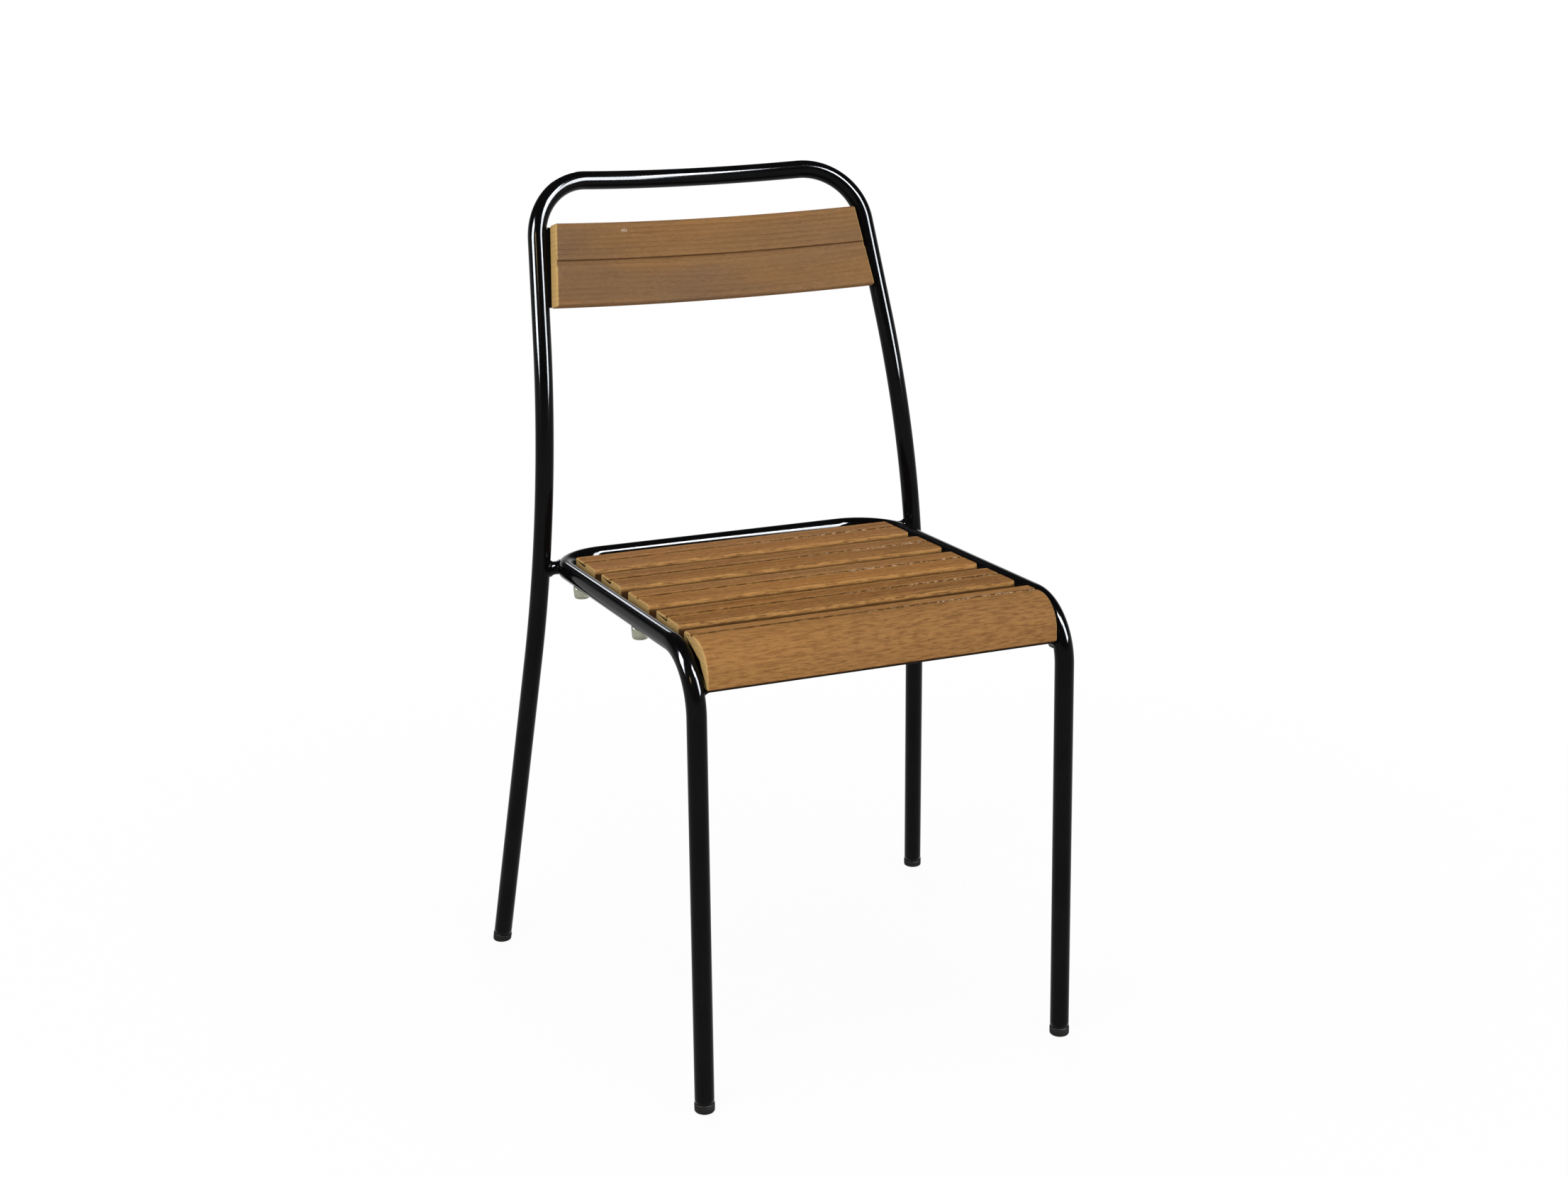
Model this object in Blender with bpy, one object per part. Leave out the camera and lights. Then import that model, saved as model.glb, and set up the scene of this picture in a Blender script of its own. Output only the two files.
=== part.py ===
"""Side chair: two bent steel tubes welded side by side, with hardwood slats.

The seat frame is one tube that makes the front legs, the side rails and the
rear rail. The rear frame is a second tube that makes the rear legs, the
uprights and the bowed top rail. Lengths are in metres. X runs across the
chair, the chair faces -Y, and +Z is up.
"""
import math

import bmesh
import bpy
import numpy as np
from mathutils import Vector

GAP = 0.0003               # clearance left between two pieces that touch

# Frame tubing
TUBE_R = 0.0095            # outside radius of both frame tubes
TUBE_WALL = 0.0015         # wall thickness of both frame tubes
TUBE_SIDES = 16            # facets around a tube

# Seat frame: front legs, side rails and rear rail
FRONT_SPLAY = 0.0017       # how far a front foot stands outside its rail
FRONT_LEG_AHEAD = 0.0113   # front foot ahead of the seat slats' front edge
FRONT_RAKE = 0.0334        # how far the leg comes back per metre of height
RAIL_Z = 0.4378            # side rail centre height where Y is 0
RAIL_FALL = 0.0342         # how far the rail falls per metre towards the rear
FRONT_BEND_R = 0.0582      # centreline radius of the front bend
REAR_RAIL_Y = 0.1091       # rear rail centre
REAR_BEND_R = 0.0540       # centreline radius of the rear corners

# Rear frame: rear legs, uprights and top rail
REAR_SPLAY = 0.0617        # how far a rear foot stands outside the rail
REAR_TAPER = 0.0880        # how far each side closes in per metre of height
KNEE_Y = 0.0587            # where the leg line meets the upright line
KNEE_Z = 0.5068
REAR_RAKE = 0.1542         # rear leg slope, back per metre down
LEAN = 0.3382              # upright slope, back per metre up
KNEE_R = 0.7116            # centreline radius of the knee bend
TOP_Z = 0.8241             # where the upright line meets the top rail line
TOP_BOW = 0.0259           # how far the middle of the top rail bows back
TOP_CORNER = 0.0615        # length of tube taken up by each top corner

# Seat slats
SLAT_COUNT = 4
SLAT_PITCH = 0.0772
SLAT_WIDTH = 0.0570
SLAT_HALF = 0.1792         # half the length of a slat
SLAT_SIDE_GAP = 0.0034     # between the end of a slat and the side rail
SLAT_RISE = 0.0106         # slat tops above the rail centreline
SLAT_ROUND = 0.0022        # radius along the long edges
SLAT_GROOVE = 0.0262       # groove of a flat slat from its rear edge
END_EASE = 0.0012          # small bevel round the ends
GROOVE_WIDTH = 0.0030
GROOVE_DEPTH = 0.0018
SLAT_REAR_GAP = 0.0381     # rear edge of the rearmost slat ahead of the rear rail's centre
FRONT_SLAT_GAP = 0.0215    # between the last flat slat and the front slat
FRONT_SLAT_WIDTH = 0.0575
FRONT_GROOVE = 0.0170      # groove of the front slat from its rear edge
NOSE_R = 0.0320            # radius of the front slat's rounded nose
LIP_DROP = 0.0440          # lower edge of the front slat below its top
LIP_THICK = 0.0190
LIP_FILLET = 0.0040        # inner corner between the front slat's top and its lip

# Bars under the slats
SUPPORT_X = 0.1150
SUPPORT_WIDTH = 0.0200
SUPPORT_THICK = 0.0030
SUPPORT_BEND = 0.0060      # outside radius where a bar turns down behind the lip
SUPPORT_LAP = 0.0040       # how far a bar runs on behind the rear rail's centre
CROSS_WIDTH = 0.0180
CROSS_THICK = 0.0025
CROSS_SETBACK = 0.0065     # front edge behind the face of the front slat
CROSS_NARROW = 0.0065      # how much narrower the bar is where it meets a leg
CROSS_FLARE = 0.0062       # weld fillet where the bar meets a leg

# Wood screws
SCREW_R = 0.0020
SCREW_HEAD_R = 0.0040
SCREW_HEAD_H = 0.0022
SCREW_BITE = 0.0100        # how far a screw goes into the wood
SCREW_SETBACK = 0.0171     # slat screws from the rear edge of a flat slat
FRONT_SCREW_SETBACK = 0.0110

# Spacers welded between the uprights and the side rails
SPACER_MID_R = 0.0069
SPACER_END_R = 0.0091

# Back board
BOARD_THICK = 0.0140
BOARD_BELOW_TOP = 0.0461   # top edge of the board below the top rail line
BOARD_HEIGHT = 0.0815      # measured straight up
BOARD_GROOVE = 0.0425      # groove of the board from its lower edge
BOARD_TOP_IN = 0.016136    # end of the top edge in from the upright's centre
BOARD_LOW_IN = 0.012808    # end of the lower edge in from the upright's centre
BOARD_AHEAD = 0.0194       # front face ahead of the upright centreline
BOARD_BOW = 0.0215
BRACKET_THICK = 0.0030
BRACKET_HEIGHT = 0.0830
BRACKET_REACH = 0.0300     # how far a bracket reaches in behind the board
BRACKET_LEVELS = 7         # stations up a bracket's edge, which follows the upright
BRACKET_SCREW_STEP = 0.0460
BRACKET_SCREW_IN = 0.0165  # bracket screws from the end of the board
DRILL_OVERRUN = 0.0020     # how far a bracket's drill starts and ends outside it

# Foot caps
CAP_R = 0.0099
CAP_HEIGHT = 0.0090
CAP_FLAT_R = 0.0066        # flat part of the sole
CAP_EDGE = 0.0009          # bevel round the sole
CAP_WIDEN = 0.0040         # height at which the cap has its full radius
CAP_STEM = 0.0180          # plug inside the tube

# Stacking bumpers under the side rails
BUMPER_Y = (0.0168, -0.1510)
BUMPER_R = 0.0086          # beside the tube
BUMPER_LOW_R = 0.0078      # above the rounded sole
BUMPER_DROP = 0.0092       # sole below the tube
BUMPER_ROUND = 0.0020      # rounding of the sole's edge
BUMPER_TOP = 0.0035        # top of the bumper below the tube's centre

# Places that follow from the sizes above
RAIL_X = SLAT_HALF + SLAT_SIDE_GAP + TUBE_R
FRONT_FOOT_X = RAIL_X + FRONT_SPLAY
REAR_FOOT_X = RAIL_X + REAR_SPLAY
SLAT_REAR_Y = REAR_RAIL_Y - SLAT_REAR_GAP
FRONT_SLAT_START = (SLAT_COUNT - 1) * SLAT_PITCH + SLAT_WIDTH + FRONT_SLAT_GAP
FRONT_FOOT_Y = SLAT_REAR_Y - FRONT_SLAT_START - FRONT_SLAT_WIDTH - FRONT_LEG_AHEAD
BOARD_TOP_Z = TOP_Z - BOARD_BELOW_TOP
BOARD_LOW_Z = BOARD_TOP_Z - BOARD_HEIGHT
BOARD_TOP_HALF = REAR_FOOT_X - REAR_TAPER * BOARD_TOP_Z - BOARD_TOP_IN
BOARD_LOW_HALF = REAR_FOOT_X - REAR_TAPER * BOARD_LOW_Z - BOARD_LOW_IN


def clear_scene():
    for ob in list(bpy.data.objects):
        bpy.data.objects.remove(ob, do_unlink=True)


def material(name, colour, roughness, metallic=0.0):
    mat = bpy.data.materials.new(name)
    mat.use_nodes = True
    mat.diffuse_color = (*colour, 1.0)
    shader = mat.node_tree.nodes["Principled BSDF"]
    shader.inputs["Base Color"].default_value = (*colour, 1.0)
    shader.inputs["Roughness"].default_value = roughness
    shader.inputs["Metallic"].default_value = metallic
    return mat


def add_object(name, verts, faces, look, smooth=False):
    """Make one named object with its own material and outward normals."""
    colour, roughness, metallic = look
    mesh = bpy.data.meshes.new(name)
    mesh.from_pydata([tuple(map(float, v)) for v in verts], [], faces)
    bm = bmesh.new()
    bm.from_mesh(mesh)
    bmesh.ops.recalc_face_normals(bm, faces=bm.faces)
    for face in bm.faces:
        face.smooth = smooth
    bm.to_mesh(mesh)
    bm.free()
    mesh.materials.append(material("mat_" + name, colour, roughness, metallic))
    ob = bpy.data.objects.new(name, mesh)
    bpy.context.scene.collection.objects.link(ob)
    return ob


PAINT = ((0.012, 0.012, 0.014), 0.28, 0.0)
WOOD = ((0.30, 0.17, 0.085), 0.55, 0.0)
STEEL = ((0.55, 0.55, 0.56), 0.35, 1.0)
CAP = ((0.015, 0.015, 0.015), 0.60, 0.0)
CLEAR = ((0.62, 0.63, 0.60), 0.30, 0.0)


def unit(v):
    return v / np.linalg.norm(v)


def rounded(points, radii, step):
    """Round the inner corners of a 3-D polyline with circular arcs."""
    out = [points[0]]
    for i in range(1, len(points) - 1):
        corner, radius = points[i], radii[i - 1]
        back, ahead = unit(points[i - 1] - corner), unit(points[i + 1] - corner)
        inner = math.acos(np.clip(back @ ahead, -1.0, 1.0))
        centre = corner + unit(back + ahead) * radius / math.sin(inner / 2)
        start = corner + back * radius / math.tan(inner / 2)
        e1 = unit(start - centre)
        e2 = unit(-back - (-back @ e1) * e1)
        turn = math.pi - inner
        count = max(3, round(turn / step))
        for k in range(count + 1):
            a = turn * k / count
            out.append(centre + radius * (math.cos(a) * e1 + math.sin(a) * e2))
    out.append(points[-1])
    return np.array(out)


def frames(path):
    """Carry one pair of cross directions along a path without twist."""
    tangents = np.gradient(path, axis=0)
    tangents /= np.linalg.norm(tangents, axis=1)[:, None]
    tangents[0] = unit(path[1] - path[0])
    tangents[-1] = unit(path[-1] - path[-2])
    side = unit(np.cross(tangents[0], (1.0, 0.0, 0.0)))
    pairs = []
    for t in tangents:
        side = unit(side - (side @ t) * t)
        pairs.append((side, np.cross(t, side)))
    return pairs


def tube(name, path, radius, wall, look):
    """Sweep a hollow tube with open ends along a path."""
    n = TUBE_SIDES
    rings = len(path)
    verts = []
    for r in (radius, radius - wall):
        for centre, (u, v) in zip(path, frames(path)):
            for k in range(n):
                a = 2 * math.pi * k / n
                verts.append(centre + r * (math.cos(a) * u + math.sin(a) * v))
    faces = []
    inner = rings * n
    for i in range(rings - 1):
        for k in range(n):
            a, b = i * n + k, i * n + (k + 1) % n
            faces.append((a, b, b + n, a + n))
            faces.append((inner + b, inner + a, inner + a + n, inner + b + n))
    for i in (0, (rings - 1) * n):
        for k in range(n):
            a, b = i + k, i + (k + 1) % n
            faces.append((a, b, inner + b, inner + a))
    return add_object(name, verts, faces, look, smooth=True)


def loft(name, rings, look, smooth=False):
    """Join closed rings of equal length and close both ends."""
    n = len(rings[0])
    verts = [p for ring in rings for p in ring]
    faces = [tuple(range(n)), tuple(range((len(rings) - 1) * n, len(rings) * n))]
    for i in range(len(rings) - 1):
        for k in range(n):
            a, b = i * n + k, i * n + (k + 1) % n
            faces.append((a, b, b + n, a + n))
    return add_object(name, verts, faces, look, smooth)


def turned(name, base, axis, profile, look, sides=12):
    """Turn a list of (distance along the axis, radius) into a solid."""
    axis = unit(np.array(axis, float))
    helper = (0.0, 1.0, 0.0) if abs(axis[1]) < 0.8 else (1.0, 0.0, 0.0)
    u = unit(np.cross(axis, helper))
    v = np.cross(axis, u)
    rings = []
    for along, radius in profile:
        angles = [2 * math.pi * k / sides for k in range(sides)]
        rings.append([base + axis * along + radius * (math.cos(a) * u + math.sin(a) * v)
                      for a in angles])
    return loft(name, rings, look, smooth=True)


def drill(ob, base, axis, radius, depth, sides=12):
    """Cut a round hole into an object and bake the cut."""
    name = "cutter_" + ob.name
    cutter = turned(name, base, axis, ((0.0, radius), (depth, radius)), STEEL, sides)
    cutter.hide_render = True
    cutter.display_type = "WIRE"
    cut = ob.modifiers.new("hole", "BOOLEAN")
    cut.operation = "DIFFERENCE"
    cut.solver = "EXACT"
    cut.object = cutter
    depsgraph = bpy.context.evaluated_depsgraph_get()
    mesh = bpy.data.meshes.new_from_object(ob.evaluated_get(depsgraph))
    ob.modifiers.clear()
    ob.data = mesh
    bpy.data.objects.remove(cutter, do_unlink=True)


def rail_z(y):
    """Height of the side rail centreline at Y."""
    return RAIL_Z - RAIL_FALL * y


def mirrored(half):
    """Follow a path from the right foot to the middle and on to the left."""
    other = half[::-1].copy()
    other[:, 0] *= -1
    if abs(half[-1][0]) < 1e-9:
        other = other[1:]
    return np.vstack([half, other])


# Seat frame
leg_top_z = (RAIL_Z - RAIL_FALL * FRONT_FOOT_Y) / (1 + RAIL_FALL * FRONT_RAKE)
FRONT_FOOT = np.array([FRONT_FOOT_X, FRONT_FOOT_Y, 0.0])
FRONT_CORNER = np.array([RAIL_X, FRONT_FOOT_Y + FRONT_RAKE * leg_top_z, leg_top_z])
REAR_CORNER = np.array([RAIL_X, REAR_RAIL_Y, rail_z(REAR_RAIL_Y)])
REAR_MIDDLE = np.array([0.0, REAR_RAIL_Y, rail_z(REAR_RAIL_Y)])
FRONT_UP = unit(FRONT_CORNER - FRONT_FOOT)


def leg_start(foot, up):
    """Where a leg tube begins, just above its cap."""
    return foot + up * (CAP_HEIGHT + GAP) / up[2]


def seat_path():
    """Centreline of the seat frame from the right foot to the left foot."""
    corners = [leg_start(FRONT_FOOT, FRONT_UP), FRONT_CORNER, REAR_CORNER, REAR_MIDDLE]
    half = rounded(corners, (FRONT_BEND_R, REAR_BEND_R), math.radians(11))
    return mirrored(half[:-1])


SEAT_PATH = seat_path()


def seat_frame():
    tube("seat_frame_tube", SEAT_PATH, TUBE_R, TUBE_WALL, PAINT)


# Rear frame
def side_x(z):
    """Rear leg and upright centre, out from the middle plane."""
    return REAR_FOOT_X - REAR_TAPER * z


def upright_y(z):
    """The straight line of the leaning upright, seen from the side."""
    return KNEE_Y + LEAN * (z - KNEE_Z)


REAR_FOOT = np.array([REAR_FOOT_X, KNEE_Y + REAR_RAKE * KNEE_Z, 0.0])
KNEE = np.array([side_x(KNEE_Z), KNEE_Y, KNEE_Z])
TOP = np.array([side_x(TOP_Z), upright_y(TOP_Z), TOP_Z])
REAR_UP = unit(KNEE - REAR_FOOT)
BACK_UP = unit(np.array([0.0, LEAN, 1.0]))        # up the back
BACK_OUT = np.cross((1.0, 0.0, 0.0), BACK_UP) * -1  # straight behind the back


def top_rail(x):
    """Centre of the bowed top rail at X, before its corners are rounded."""
    middle = np.array([x, TOP[1], TOP[2]])
    return middle + BACK_OUT * TOP_BOW * (1 - (x / TOP[0]) ** 2)


def rear_path():
    """Centreline of the rear frame from the right foot to the left foot."""
    half = rounded([leg_start(REAR_FOOT, REAR_UP), KNEE, TOP], (KNEE_R,), math.radians(4.5))
    rise = unit(TOP - KNEE)
    start = TOP - rise * TOP_CORNER
    end_x = TOP[0] - TOP_CORNER / math.hypot(1.0, 2 * TOP_BOW / TOP[0])
    end = top_rail(end_x)
    run = unit(top_rail(end_x - 0.001) - top_rail(end_x + 0.001))
    hold = 0.5523 * TOP_CORNER
    curve = []
    for k in range(10):
        t = k / 10
        s = 1 - t
        curve.append(s ** 3 * start + 3 * s * s * t * (start + rise * hold)
                     + 3 * s * t * t * (end - run * hold) + t ** 3 * end)
    rail = [top_rail(end_x * (1 - k / 6)) for k in range(7)]
    return mirrored(np.vstack([half[:-1], curve, rail]))


REAR_PATH = rear_path()


def rear_frame():
    tube("rear_frame_tube", REAR_PATH, TUBE_R, TUBE_WALL, PAINT)


def rear_centre(z):
    """Centre of the right side of the rear frame at a height below the board."""
    side = REAR_PATH[:20]
    return np.array([np.interp(z, side[:, 2], side[:, i]) for i in range(3)])


def path_distance(point, path):
    """Distance from a point to the right half of a centreline."""
    half = path[:len(path) // 2 + 1]
    a, b = half[:-1], half[1:]
    d = b - a
    t = np.clip(((point - a) * d).sum(1) / (d * d).sum(1), 0, 1)
    return np.linalg.norm(point - (a + t[:, None] * d), axis=1).min()


def reach_tube(clear, inside, path, place):
    """Travel from a clear value towards a tube until only the gap is left."""
    for _ in range(30):
        middle = (clear + inside) / 2
        if path_distance(place(middle), path) > TUBE_R + GAP:
            clear = middle
        else:
            inside = middle
    return clear


def spacer_ring(t, r, centre):
    """Ring of the right spacer, from the rail's surface (t 0) to the upright's (t 1)."""
    between = (RAIL_X + centre[0]) / 2
    ring = []
    for k in range(16):
        a = 2 * math.pi * k / 16
        y, z = centre[1] + r * math.cos(a), centre[2] + r * math.sin(a)
        rail = reach_tube(between, RAIL_X, SEAT_PATH, lambda x: np.array([x, y, z]))
        upright = reach_tube(between, centre[0], REAR_PATH, lambda x: np.array([x, y, z]))
        ring.append(np.array([rail + (upright - rail) * t, y, z]))
    return ring


def spacers():
    """Short waisted stubs between each upright and its side rail."""
    centre = rear_centre(REAR_CORNER[2])
    centre[2] = rail_z(centre[1])
    cope = (0.1, 0.32, 0.55, 0.78)
    rings = [spacer_ring(0, SPACER_END_R * share, centre) for share in cope]
    for k in range(7):
        t = k / 6
        r = SPACER_MID_R + (SPACER_END_R - SPACER_MID_R) * (2 * t - 1) ** 2
        rings.append(spacer_ring(t, r, centre))
    rings += [spacer_ring(1, SPACER_END_R * share, centre) for share in cope[::-1]]
    flip = np.array([-1.0, 1.0, 1.0])
    loft("spacer_right", rings, PAINT, smooth=True)
    loft("spacer_left", [[p * flip for p in ring] for ring in rings], PAINT, smooth=True)


# Slats are drawn in seat coordinates: s runs forward from the rear edge of
# the first slat, h stands up from the slat tops, square to the side rails.
RAIL_TILT = math.atan(RAIL_FALL)
SEAT_UP = np.array([0.0, math.sin(RAIL_TILT), math.cos(RAIL_TILT)])
SEAT_AHEAD = np.array([0.0, -math.cos(RAIL_TILT), math.sin(RAIL_TILT)])
SEAT_START = np.array([0.0, SLAT_REAR_Y, rail_z(SLAT_REAR_Y)])
SLAT_THICK = SLAT_RISE + TUBE_R   # slats rest on bars that lap under the rear rail


def seat_point(x, s, h):
    """Seat coordinates to chair coordinates."""
    return SEAT_START + np.array([x, 0.0, 0.0]) + s * SEAT_AHEAD + (SLAT_RISE + h) * SEAT_UP


def bend(centre, radius, start, end, steps=3):
    """Points round a corner of an outline, between two angles in degrees."""
    out = []
    for k in range(steps + 1):
        a = math.radians(start + (end - start) * k / steps)
        out.append((centre[0] + radius * math.cos(a), centre[1] + radius * math.sin(a)))
    return out


def groove_points(middle):
    """The groove along a board, as outline points."""
    half = GROOVE_WIDTH / 2
    return [(middle - half, 0.0), (middle - half / 2, -GROOVE_DEPTH),
            (middle + half / 2, -GROOVE_DEPTH), (middle + half, 0.0)]


def board_outline(length, thick, groove):
    """Outline of a flat board's end, (along, height), with rounded edges."""
    r = SLAT_ROUND
    return (bend((r, -r), r, 180, 90) + groove_points(groove)
            + bend((length - r, -r), r, 90, 0)
            + bend((length - r, -thick + r), r, 0, -90)
            + bend((r, -thick + r), r, -90, -180))


def front_outline():
    """Outline of the front slat's end: a flat top, a round nose and a lip."""
    r, length, inner = SLAT_ROUND, FRONT_SLAT_WIDTH, FRONT_SLAT_WIDTH - LIP_THICK
    return (bend((r, -r), r, 180, 90) + groove_points(FRONT_GROOVE)
            + bend((length - NOSE_R, -NOSE_R), NOSE_R, 90, 0, 9)
            + bend((length - r, -LIP_DROP + r), r, 0, -90)
            + bend((inner + r, -LIP_DROP + r), r, -90, -180)
            + bend((inner - LIP_FILLET, -SLAT_THICK - LIP_FILLET), LIP_FILLET, 0, 90)
            + bend((r, -SLAT_THICK + r), r, -90, -180))


def inset(outline, depth):
    """Move every point of a clockwise outline inwards, square to its edges."""
    pts = np.array(outline)
    run = np.roll(pts, -1, axis=0) - pts
    run /= np.linalg.norm(run, axis=1)[:, None]
    after = np.stack([run[:, 1], -run[:, 0]], axis=1)
    before = np.roll(after, 1, axis=0)
    reach = depth / (1 + (after * before).sum(axis=1))
    return pts + (after + before) * reach[:, None]


def slat_rings(outline, start):
    """Rings of a slat across the chair, with eased ends."""
    small = inset(outline, END_EASE)
    rings = []
    for x, ring in ((-SLAT_HALF, small), (-SLAT_HALF + END_EASE, outline),
                    (SLAT_HALF - END_EASE, outline), (SLAT_HALF, small)):
        rings.append([seat_point(x, start + s, h) for s, h in ring])
    return rings


def slat_starts():
    return [i * SLAT_PITCH for i in range(SLAT_COUNT)]


def screw_places():
    """Seat distances of the screws, one row under each slat."""
    places = [start + SCREW_SETBACK for start in slat_starts()]
    return places + [FRONT_SLAT_START + FRONT_SCREW_SETBACK]


def slats():
    outline = board_outline(SLAT_WIDTH, SLAT_THICK, SLAT_GROOVE)
    boards = []
    for i, start in enumerate(slat_starts()):
        boards.append(loft("seat_slat_%d" % (i + 1), slat_rings(outline, start), WOOD))
    rings = slat_rings(front_outline(), FRONT_SLAT_START)
    boards.append(loft("front_slat", rings, WOOD))
    for board, s in zip(boards, screw_places()):
        for x in (SUPPORT_X, -SUPPORT_X):
            foot = seat_point(x, s, -SLAT_THICK - SUPPORT_THICK)
            drill(board, foot, SEAT_UP, SCREW_R + GAP, SUPPORT_THICK + SCREW_BITE + GAP)


def support_bars():
    """Two flat bars under the slats, turned down in front to stand on the cross bar."""
    high = -SLAT_THICK - GAP
    low = high - SUPPORT_THICK
    rear = (SLAT_REAR_Y - REAR_RAIL_Y) / math.cos(RAIL_TILT) - SUPPORT_LAP
    front = FRONT_SLAT_START + FRONT_SLAT_WIDTH - LIP_THICK - GAP
    centre = (front - SUPPORT_BEND, high - SUPPORT_BEND)
    outline = ([(rear, high)] + bend(centre, SUPPORT_BEND, 90, 0)
               + [(front, -LIP_DROP), (front - SUPPORT_THICK, -LIP_DROP)]
               + bend(centre, SUPPORT_BEND - SUPPORT_THICK, 0, 90) + [(rear, low)])
    for side, label in ((1, "right"), (-1, "left")):
        rings = []
        for across in (-SUPPORT_WIDTH / 2, SUPPORT_WIDTH / 2):
            rings.append([seat_point(side * SUPPORT_X + across, s, h) for s, h in outline])
        bar = loft("support_bar_" + label, rings, PAINT)
        for s in screw_places():
            foot = seat_point(side * SUPPORT_X, s, low - SUPPORT_THICK)
            drill(bar, foot, SEAT_UP, SCREW_R + GAP, 3 * SUPPORT_THICK)


def slat_screws():
    low = -SLAT_THICK - GAP - SUPPORT_THICK
    grip = SUPPORT_THICK + GAP + SCREW_BITE
    number = 0
    for s in screw_places():
        for side in (1, -1):
            number += 1
            foot = seat_point(side * SUPPORT_X, s, low - GAP)
            screw("slat_screw_%02d" % number, foot, SEAT_UP, grip)


def screw(name, seat, direction, grip):
    """Button-head screw whose head sits at a point and shank runs onward."""
    profile = ((-SCREW_HEAD_H, SCREW_HEAD_R * 0.55), (-SCREW_HEAD_H * 0.6, SCREW_HEAD_R * 0.88),
               (0.0, SCREW_HEAD_R), (0.0, SCREW_R), (grip - SCREW_R, SCREW_R),
               (grip, SCREW_R * 0.3))
    turned(name, seat, direction, profile, STEEL, sides=10)


def front_cross_bar():
    """Flat bar under the front slat, with a weld fillet down each leg."""
    top = -LIP_DROP - GAP
    front = FRONT_SLAT_START + FRONT_SLAT_WIDTH - CROSS_SETBACK
    end_x = RAIL_X - TUBE_R - GAP
    half = []
    for k in range(5):
        a = math.pi / 2 * k / 4
        low = top - CROSS_THICK - CROSS_FLARE * (1 - math.cos(a))
        rear = front - CROSS_WIDTH + CROSS_NARROW * k / 4
        ring = []
        for s, h in ((front, top), (front, low), (rear, low), (rear, top)):
            ring.append(seat_point(end_x - CROSS_FLARE * (1 - math.sin(a)), s, h))
        half.append(ring)
    flip = np.array([-1.0, 1.0, 1.0])
    left = [[p * flip for p in ring] for ring in half[::-1]]
    loft("front_cross_bar", left + half, PAINT)


# Back board: u runs across, v up the back, w straight behind
def back_point(x, z, behind, half):
    """Point of the bowed board at X, upright height z, behind its front face."""
    slope = 2 * BOARD_BOW * x / half ** 2
    scale = 1 / math.hypot(1.0, slope)
    bow = BOARD_BOW * (1 - (x / half) ** 2)
    base = np.array([x, upright_y(z), z]) + BACK_OUT * (bow - BOARD_AHEAD)
    return base + (BACK_OUT + np.array([slope, 0.0, 0.0])) * scale * behind


def board_half(z):
    """Half length of the board at a height on the upright line."""
    share = (z - BOARD_LOW_Z) / BOARD_HEIGHT
    return BOARD_LOW_HALF + (BOARD_TOP_HALF - BOARD_LOW_HALF) * share


def back_board():
    outline = board_outline(BOARD_HEIGHT, BOARD_THICK, BOARD_GROOVE)
    small = inset(outline, END_EASE)
    stations = [-1.0 + END_EASE / BOARD_LOW_HALF + k / 9 * (1 - END_EASE / BOARD_LOW_HALF)
                for k in range(19)]
    rings = []
    for share, shape in [(-1.0, small)] + [(s, outline) for s in stations] + [(1.0, small)]:
        ring = []
        for s, h in shape:
            z = BOARD_LOW_Z + s
            ring.append(back_point(share * board_half(z), z, -h, board_half(BOARD_LOW_Z)))
        rings.append(ring)
    board = loft("back_board", rings, WOOD)
    for seat, direction in bracket_screws():
        start = seat + direction * BRACKET_THICK
        drill(board, start, direction, SCREW_R + GAP, GAP * 3 + SCREW_BITE)


def bracket_middle():
    return (BOARD_TOP_Z + BOARD_LOW_Z) / 2


def bracket_screws():
    """Where each bracket screw's head bears, and the way it points."""
    out = []
    z0 = bracket_middle()
    for side in (1, -1):
        for step in (0.5, -0.5):
            z = z0 + step * BRACKET_SCREW_STEP / math.hypot(1.0, LEAN)
            x = side * (board_half(BOARD_TOP_Z) - BRACKET_SCREW_IN)
            back = BOARD_THICK + GAP + BRACKET_THICK
            seat = back_point(x, z, back + GAP, board_half(BOARD_LOW_Z))
            ahead = back_point(x, z, 0.0, board_half(BOARD_LOW_Z))
            out.append((seat, unit(ahead - seat)))
    return out


def brackets():
    """Flat plates welded inside the uprights, behind the ends of the board."""
    half_height = BRACKET_HEIGHT / 2 / math.hypot(1.0, LEAN)
    z0 = bracket_middle()
    levels = np.linspace(-1.0, 1.0, BRACKET_LEVELS)
    section = [(up, 0.0) for up in levels] + [(up, BRACKET_THICK) for up in levels[::-1]]
    for side, label in ((1, "right"), (-1, "left")):
        rings = []
        inner = board_half(BOARD_TOP_Z) - BRACKET_REACH
        for share in (0.0, 0.34, 0.67, 1.0):
            ring = []
            for up, behind in section:
                z = z0 + up * half_height
                outer = bracket_outer(z, BOARD_THICK + GAP + behind)
                x = inner + (outer - inner) * share
                depth = BOARD_THICK + GAP + behind
                ring.append(back_point(side * x, z, depth, board_half(BOARD_LOW_Z)))
            rings.append(ring)
        plate = loft("back_bracket_" + label, rings, PAINT)
        for seat, direction in bracket_screws():
            if seat[0] * side > 0:
                start = seat - direction * DRILL_OVERRUN
                drill(plate, start, direction, SCREW_R + GAP,
                      BRACKET_THICK + 2 * DRILL_OVERRUN)


def bracket_outer(z, depth):
    """How far out a bracket can reach before it meets the upright's surface."""
    inner = board_half(BOARD_TOP_Z) - BRACKET_REACH
    return reach_tube(inner, side_x(z), REAR_PATH,
                      lambda x: back_point(x, z, depth, board_half(BOARD_LOW_Z)))


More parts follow.
